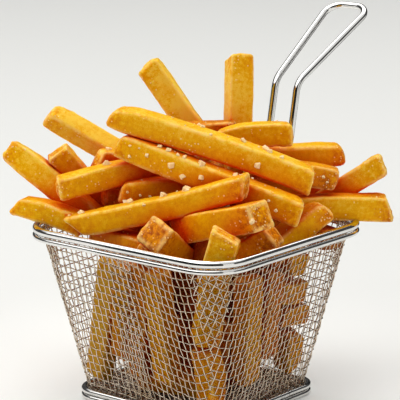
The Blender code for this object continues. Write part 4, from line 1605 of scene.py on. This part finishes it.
class MeshSettings(bpy.types.PropertyGroup):
    """Sizes of the woven mesh"""

    wire: length_property("Wire", "Diameter of the woven wire", 0.49 * MM)
    pitch: length_property("Pitch", "Distance between upright wires", 2.85 * MM)
    row_pitch: length_property("Row pitch", "Distance between cross wires", 3.55 * MM)
    unevenness: length_property("Unevenness", "How far the wires wander", 0.45 * MM)


class FrySettings(bpy.types.PropertyGroup):
    """Surface and number of the fries and of the salt"""

    pucker: length_property("Pucker", "Height of the broad waves of the skin", 0.34 * MM)
    grain: length_property("Grain", "Height of the fine bumps of the skin", 0.10 * MM)
    blister: length_property("Blister", "Height of the blisters", 0.42 * MM)
    seed: bpy.props.IntProperty(name="Seed", description="Shuffles the fries", default=11)
    packing: bpy.props.IntProperty(
        name="Packing", description="Tries at placing each size of fry in the basket", default=700,
        min=1)
    salt_density: number_property("Salt", "Flakes for each square metre where salt lies thickest",
                                  13000.0, min=0.0)
    salt_seed: bpy.props.IntProperty(name="Salt seed", description="Shuffles the salt", default=5)


class LookSettings(bpy.types.PropertyGroup):
    """Colours and finish"""

    wire_colour: colour_property("Bright wire", "Colour of the rim, base and handle",
                                 (0.80, 0.79, 0.77))
    wire_roughness: finish_property("Bright wire roughness",
                                    "Roughness of the rim, base and handle", 0.05)
    mesh_colour: colour_property("Mesh wire", "Colour of the woven mesh", (0.68, 0.585, 0.475))
    mesh_roughness: finish_property("Mesh roughness", "Roughness of the woven mesh", 0.11)
    # The pale end of the skin's colours also carries the painted light on upper sides and the
    # painted highlight along the edges
    pale_colour: colour_property("Pale potato", "Worn edges and blisters", (0.90, 0.575, 0.055))
    golden_colour: colour_property("Golden potato", "Most of the skin", (0.835, 0.418, 0.002))
    orange_colour: colour_property("Orange potato", "Well done skin", (0.70, 0.223, 0.002))
    brown_colour: colour_property("Brown potato", "Browned tips", (0.39, 0.072, 0.003))
    # The pale line along the edges: partly worn crust, partly painted highlight
    edge_colour: colour_property("Worn edges", "Thin crust along the edges",
                                 (0.96, 0.68, 0.24))
    # Painted shade: the darker, redder tint of places that other fries wall in
    painted_shade_colour: colour_property("Sheltered", "Tint of what lies deep in the heap",
                                    (0.87, 0.215, 0.03))
    # Painted shade: the darker tint of the fries down in the basket
    inside_shade_colour: colour_property("Inside", "Tint of the fries down in the basket",
                                   (0.64, 0.56, 0.42))
    bubble_colour: colour_property("Bubbles", "Small dried bubbles in the crust",
                                   (0.97, 0.76, 0.36))
    fry_roughness: finish_property("Fry roughness", "Roughness of the fries' skin", 0.36)
    salt_colour: colour_property("Salt", "Colour of the salt", (0.98, 0.71, 0.36))


class StageSettings(bpy.types.PropertyGroup):
    """Floor, light and camera"""

    floor_colour: colour_property("Floor", "Colour of the floor", (0.93, 0.935, 0.915))
    sky: number_property("Sky", "Strength of the light all round", 0.80, min=0.0)
    key_power: number_property("Overhead light", "Power in watts", 13.5, min=0.0, unit="POWER")
    fill_power: number_property("Side light", "Power in watts", 6.4, min=0.0, unit="POWER")
    camera_turn: number_property("Camera turn", "Angle round the basket", math.radians(39.18),
                                 unit="ROTATION")
    camera_lift: number_property("Camera lift", "Angle above the floor", math.radians(13.12),
                                 unit="ROTATION")
    camera_distance: length_property("Camera distance", "Distance from the aim point", 0.954)
    camera_lens: number_property("Lens", "Focal length in millimetres", 207.7, min=1.0,
                                 unit="CAMERA")


class BasketSettings(bpy.types.PropertyGroup):
    """Everything a user may change"""

    wires: bpy.props.PointerProperty(type=WireSettings, name="Wires", description="Bright wires")
    mesh: bpy.props.PointerProperty(type=MeshSettings, name="Mesh", description="Woven mesh")
    fries: bpy.props.PointerProperty(type=FrySettings, name="Fries", description="Fries and salt")
    looks: bpy.props.PointerProperty(type=LookSettings, name="Looks", description="Colours")
    stage: bpy.props.PointerProperty(type=StageSettings, name="Stage", description="Stage")


def get_material(name, make, look):
    """The named material, made the first time it is asked for."""
    return bpy.data.materials.get(name) or make(look)


class FRIES_OT_wires(bpy.types.Operator):
    """Draw the wires of the rim and the base"""

    bl_idname = "fries.wires"
    bl_label = "Rim and base wires"

    def execute(self, context):
        settings = context.scene.fries
        build_wires(settings.wires, get_material("bright_wire", chrome_material, settings.looks))
        return {"FINISHED"}


class FRIES_OT_handle(bpy.types.Operator):
    """Bend the handle and weld it on"""

    bl_idname = "fries.handle"
    bl_label = "Handle"

    def execute(self, context):
        settings = context.scene.fries
        build_handle(settings.wires, get_material("bright_wire", chrome_material, settings.looks))
        return {"FINISHED"}


class FRIES_OT_mesh(bpy.types.Operator):
    """Weave the walls and the floor of the basket"""

    bl_idname = "fries.mesh"
    bl_label = "Woven mesh"

    def execute(self, context):
        settings = context.scene.fries
        build_mesh(settings.mesh, get_material("woven_wire", mesh_material, settings.looks))
        return {"FINISHED"}


class FRIES_OT_fries(bpy.types.Operator):
    """Heap the fries and fill the basket with them"""

    bl_idname = "fries.fries"
    bl_label = "Fries"

    def execute(self, context):
        settings = context.scene.fries
        material = get_material("crisp_potato", potato_material, settings.looks)
        build_fries(settings.fries, material)
        build_core(material)
        pieces = ("heap_fries", "basket_fries", "fries_core")
        mark_painted_shade(pieces, material)
        for name in pieces:
            give(bpy.data.objects[name], "fried_potato", "fries_heap")
        return {"FINISHED"}


class FRIES_OT_salt(bpy.types.Operator):
    """Scatter salt over the heap"""

    bl_idname = "fries.salt"
    bl_label = "Salt"

    def execute(self, context):
        settings = context.scene.fries
        build_salt(settings.fries, get_material("salt_flakes", salt_material, settings.looks))
        return {"FINISHED"}


class FRIES_OT_stage(bpy.types.Operator):
    """Set up the floor, the lights and the camera"""

    bl_idname = "fries.stage"
    bl_label = "Stage"

    def execute(self, context):
        build_stage(context.scene.fries.stage)
        return {"FINISHED"}


OPERATORS = (FRIES_OT_wires, FRIES_OT_handle, FRIES_OT_mesh, FRIES_OT_fries, FRIES_OT_salt,
             FRIES_OT_stage)


class FRIES_PT_panel(bpy.types.Panel):
    """Lists what can be built and the sizes and colours behind it"""

    bl_idname = "FRIES_PT_panel"
    bl_label = "Basket of fries"
    bl_space_type = "VIEW_3D"
    bl_region_type = "UI"
    bl_category = "Fries"

    def draw(self, context):
        for operator in OPERATORS:
            self.layout.operator(operator.bl_idname)
        settings = context.scene.fries
        for group in (settings.wires, settings.mesh, settings.fries, settings.looks,
                      settings.stage):
            box = self.layout.box()
            for name in group.__annotations__:
                box.prop(group, name)


CLASSES = (WireSettings, MeshSettings, FrySettings, LookSettings, StageSettings, BasketSettings,
           *OPERATORS, FRIES_PT_panel)


def register():
    """Make the classes and the settings known to Blender."""
    for cls in CLASSES:
        bpy.utils.register_class(cls)
    bpy.types.Scene.fries = bpy.props.PointerProperty(type=BasketSettings)


def unregister():
    """Take them away again."""
    del bpy.types.Scene.fries
    for cls in reversed(CLASSES):
        bpy.utils.unregister_class(cls)


def main():
    """Build the whole scene."""
    register()
    bpy.ops.fries.stage()
    bpy.ops.fries.wires()
    bpy.ops.fries.handle()
    bpy.ops.fries.mesh()
    bpy.ops.fries.fries()
    bpy.ops.fries.salt()


if __name__ == "__main__":
    main()
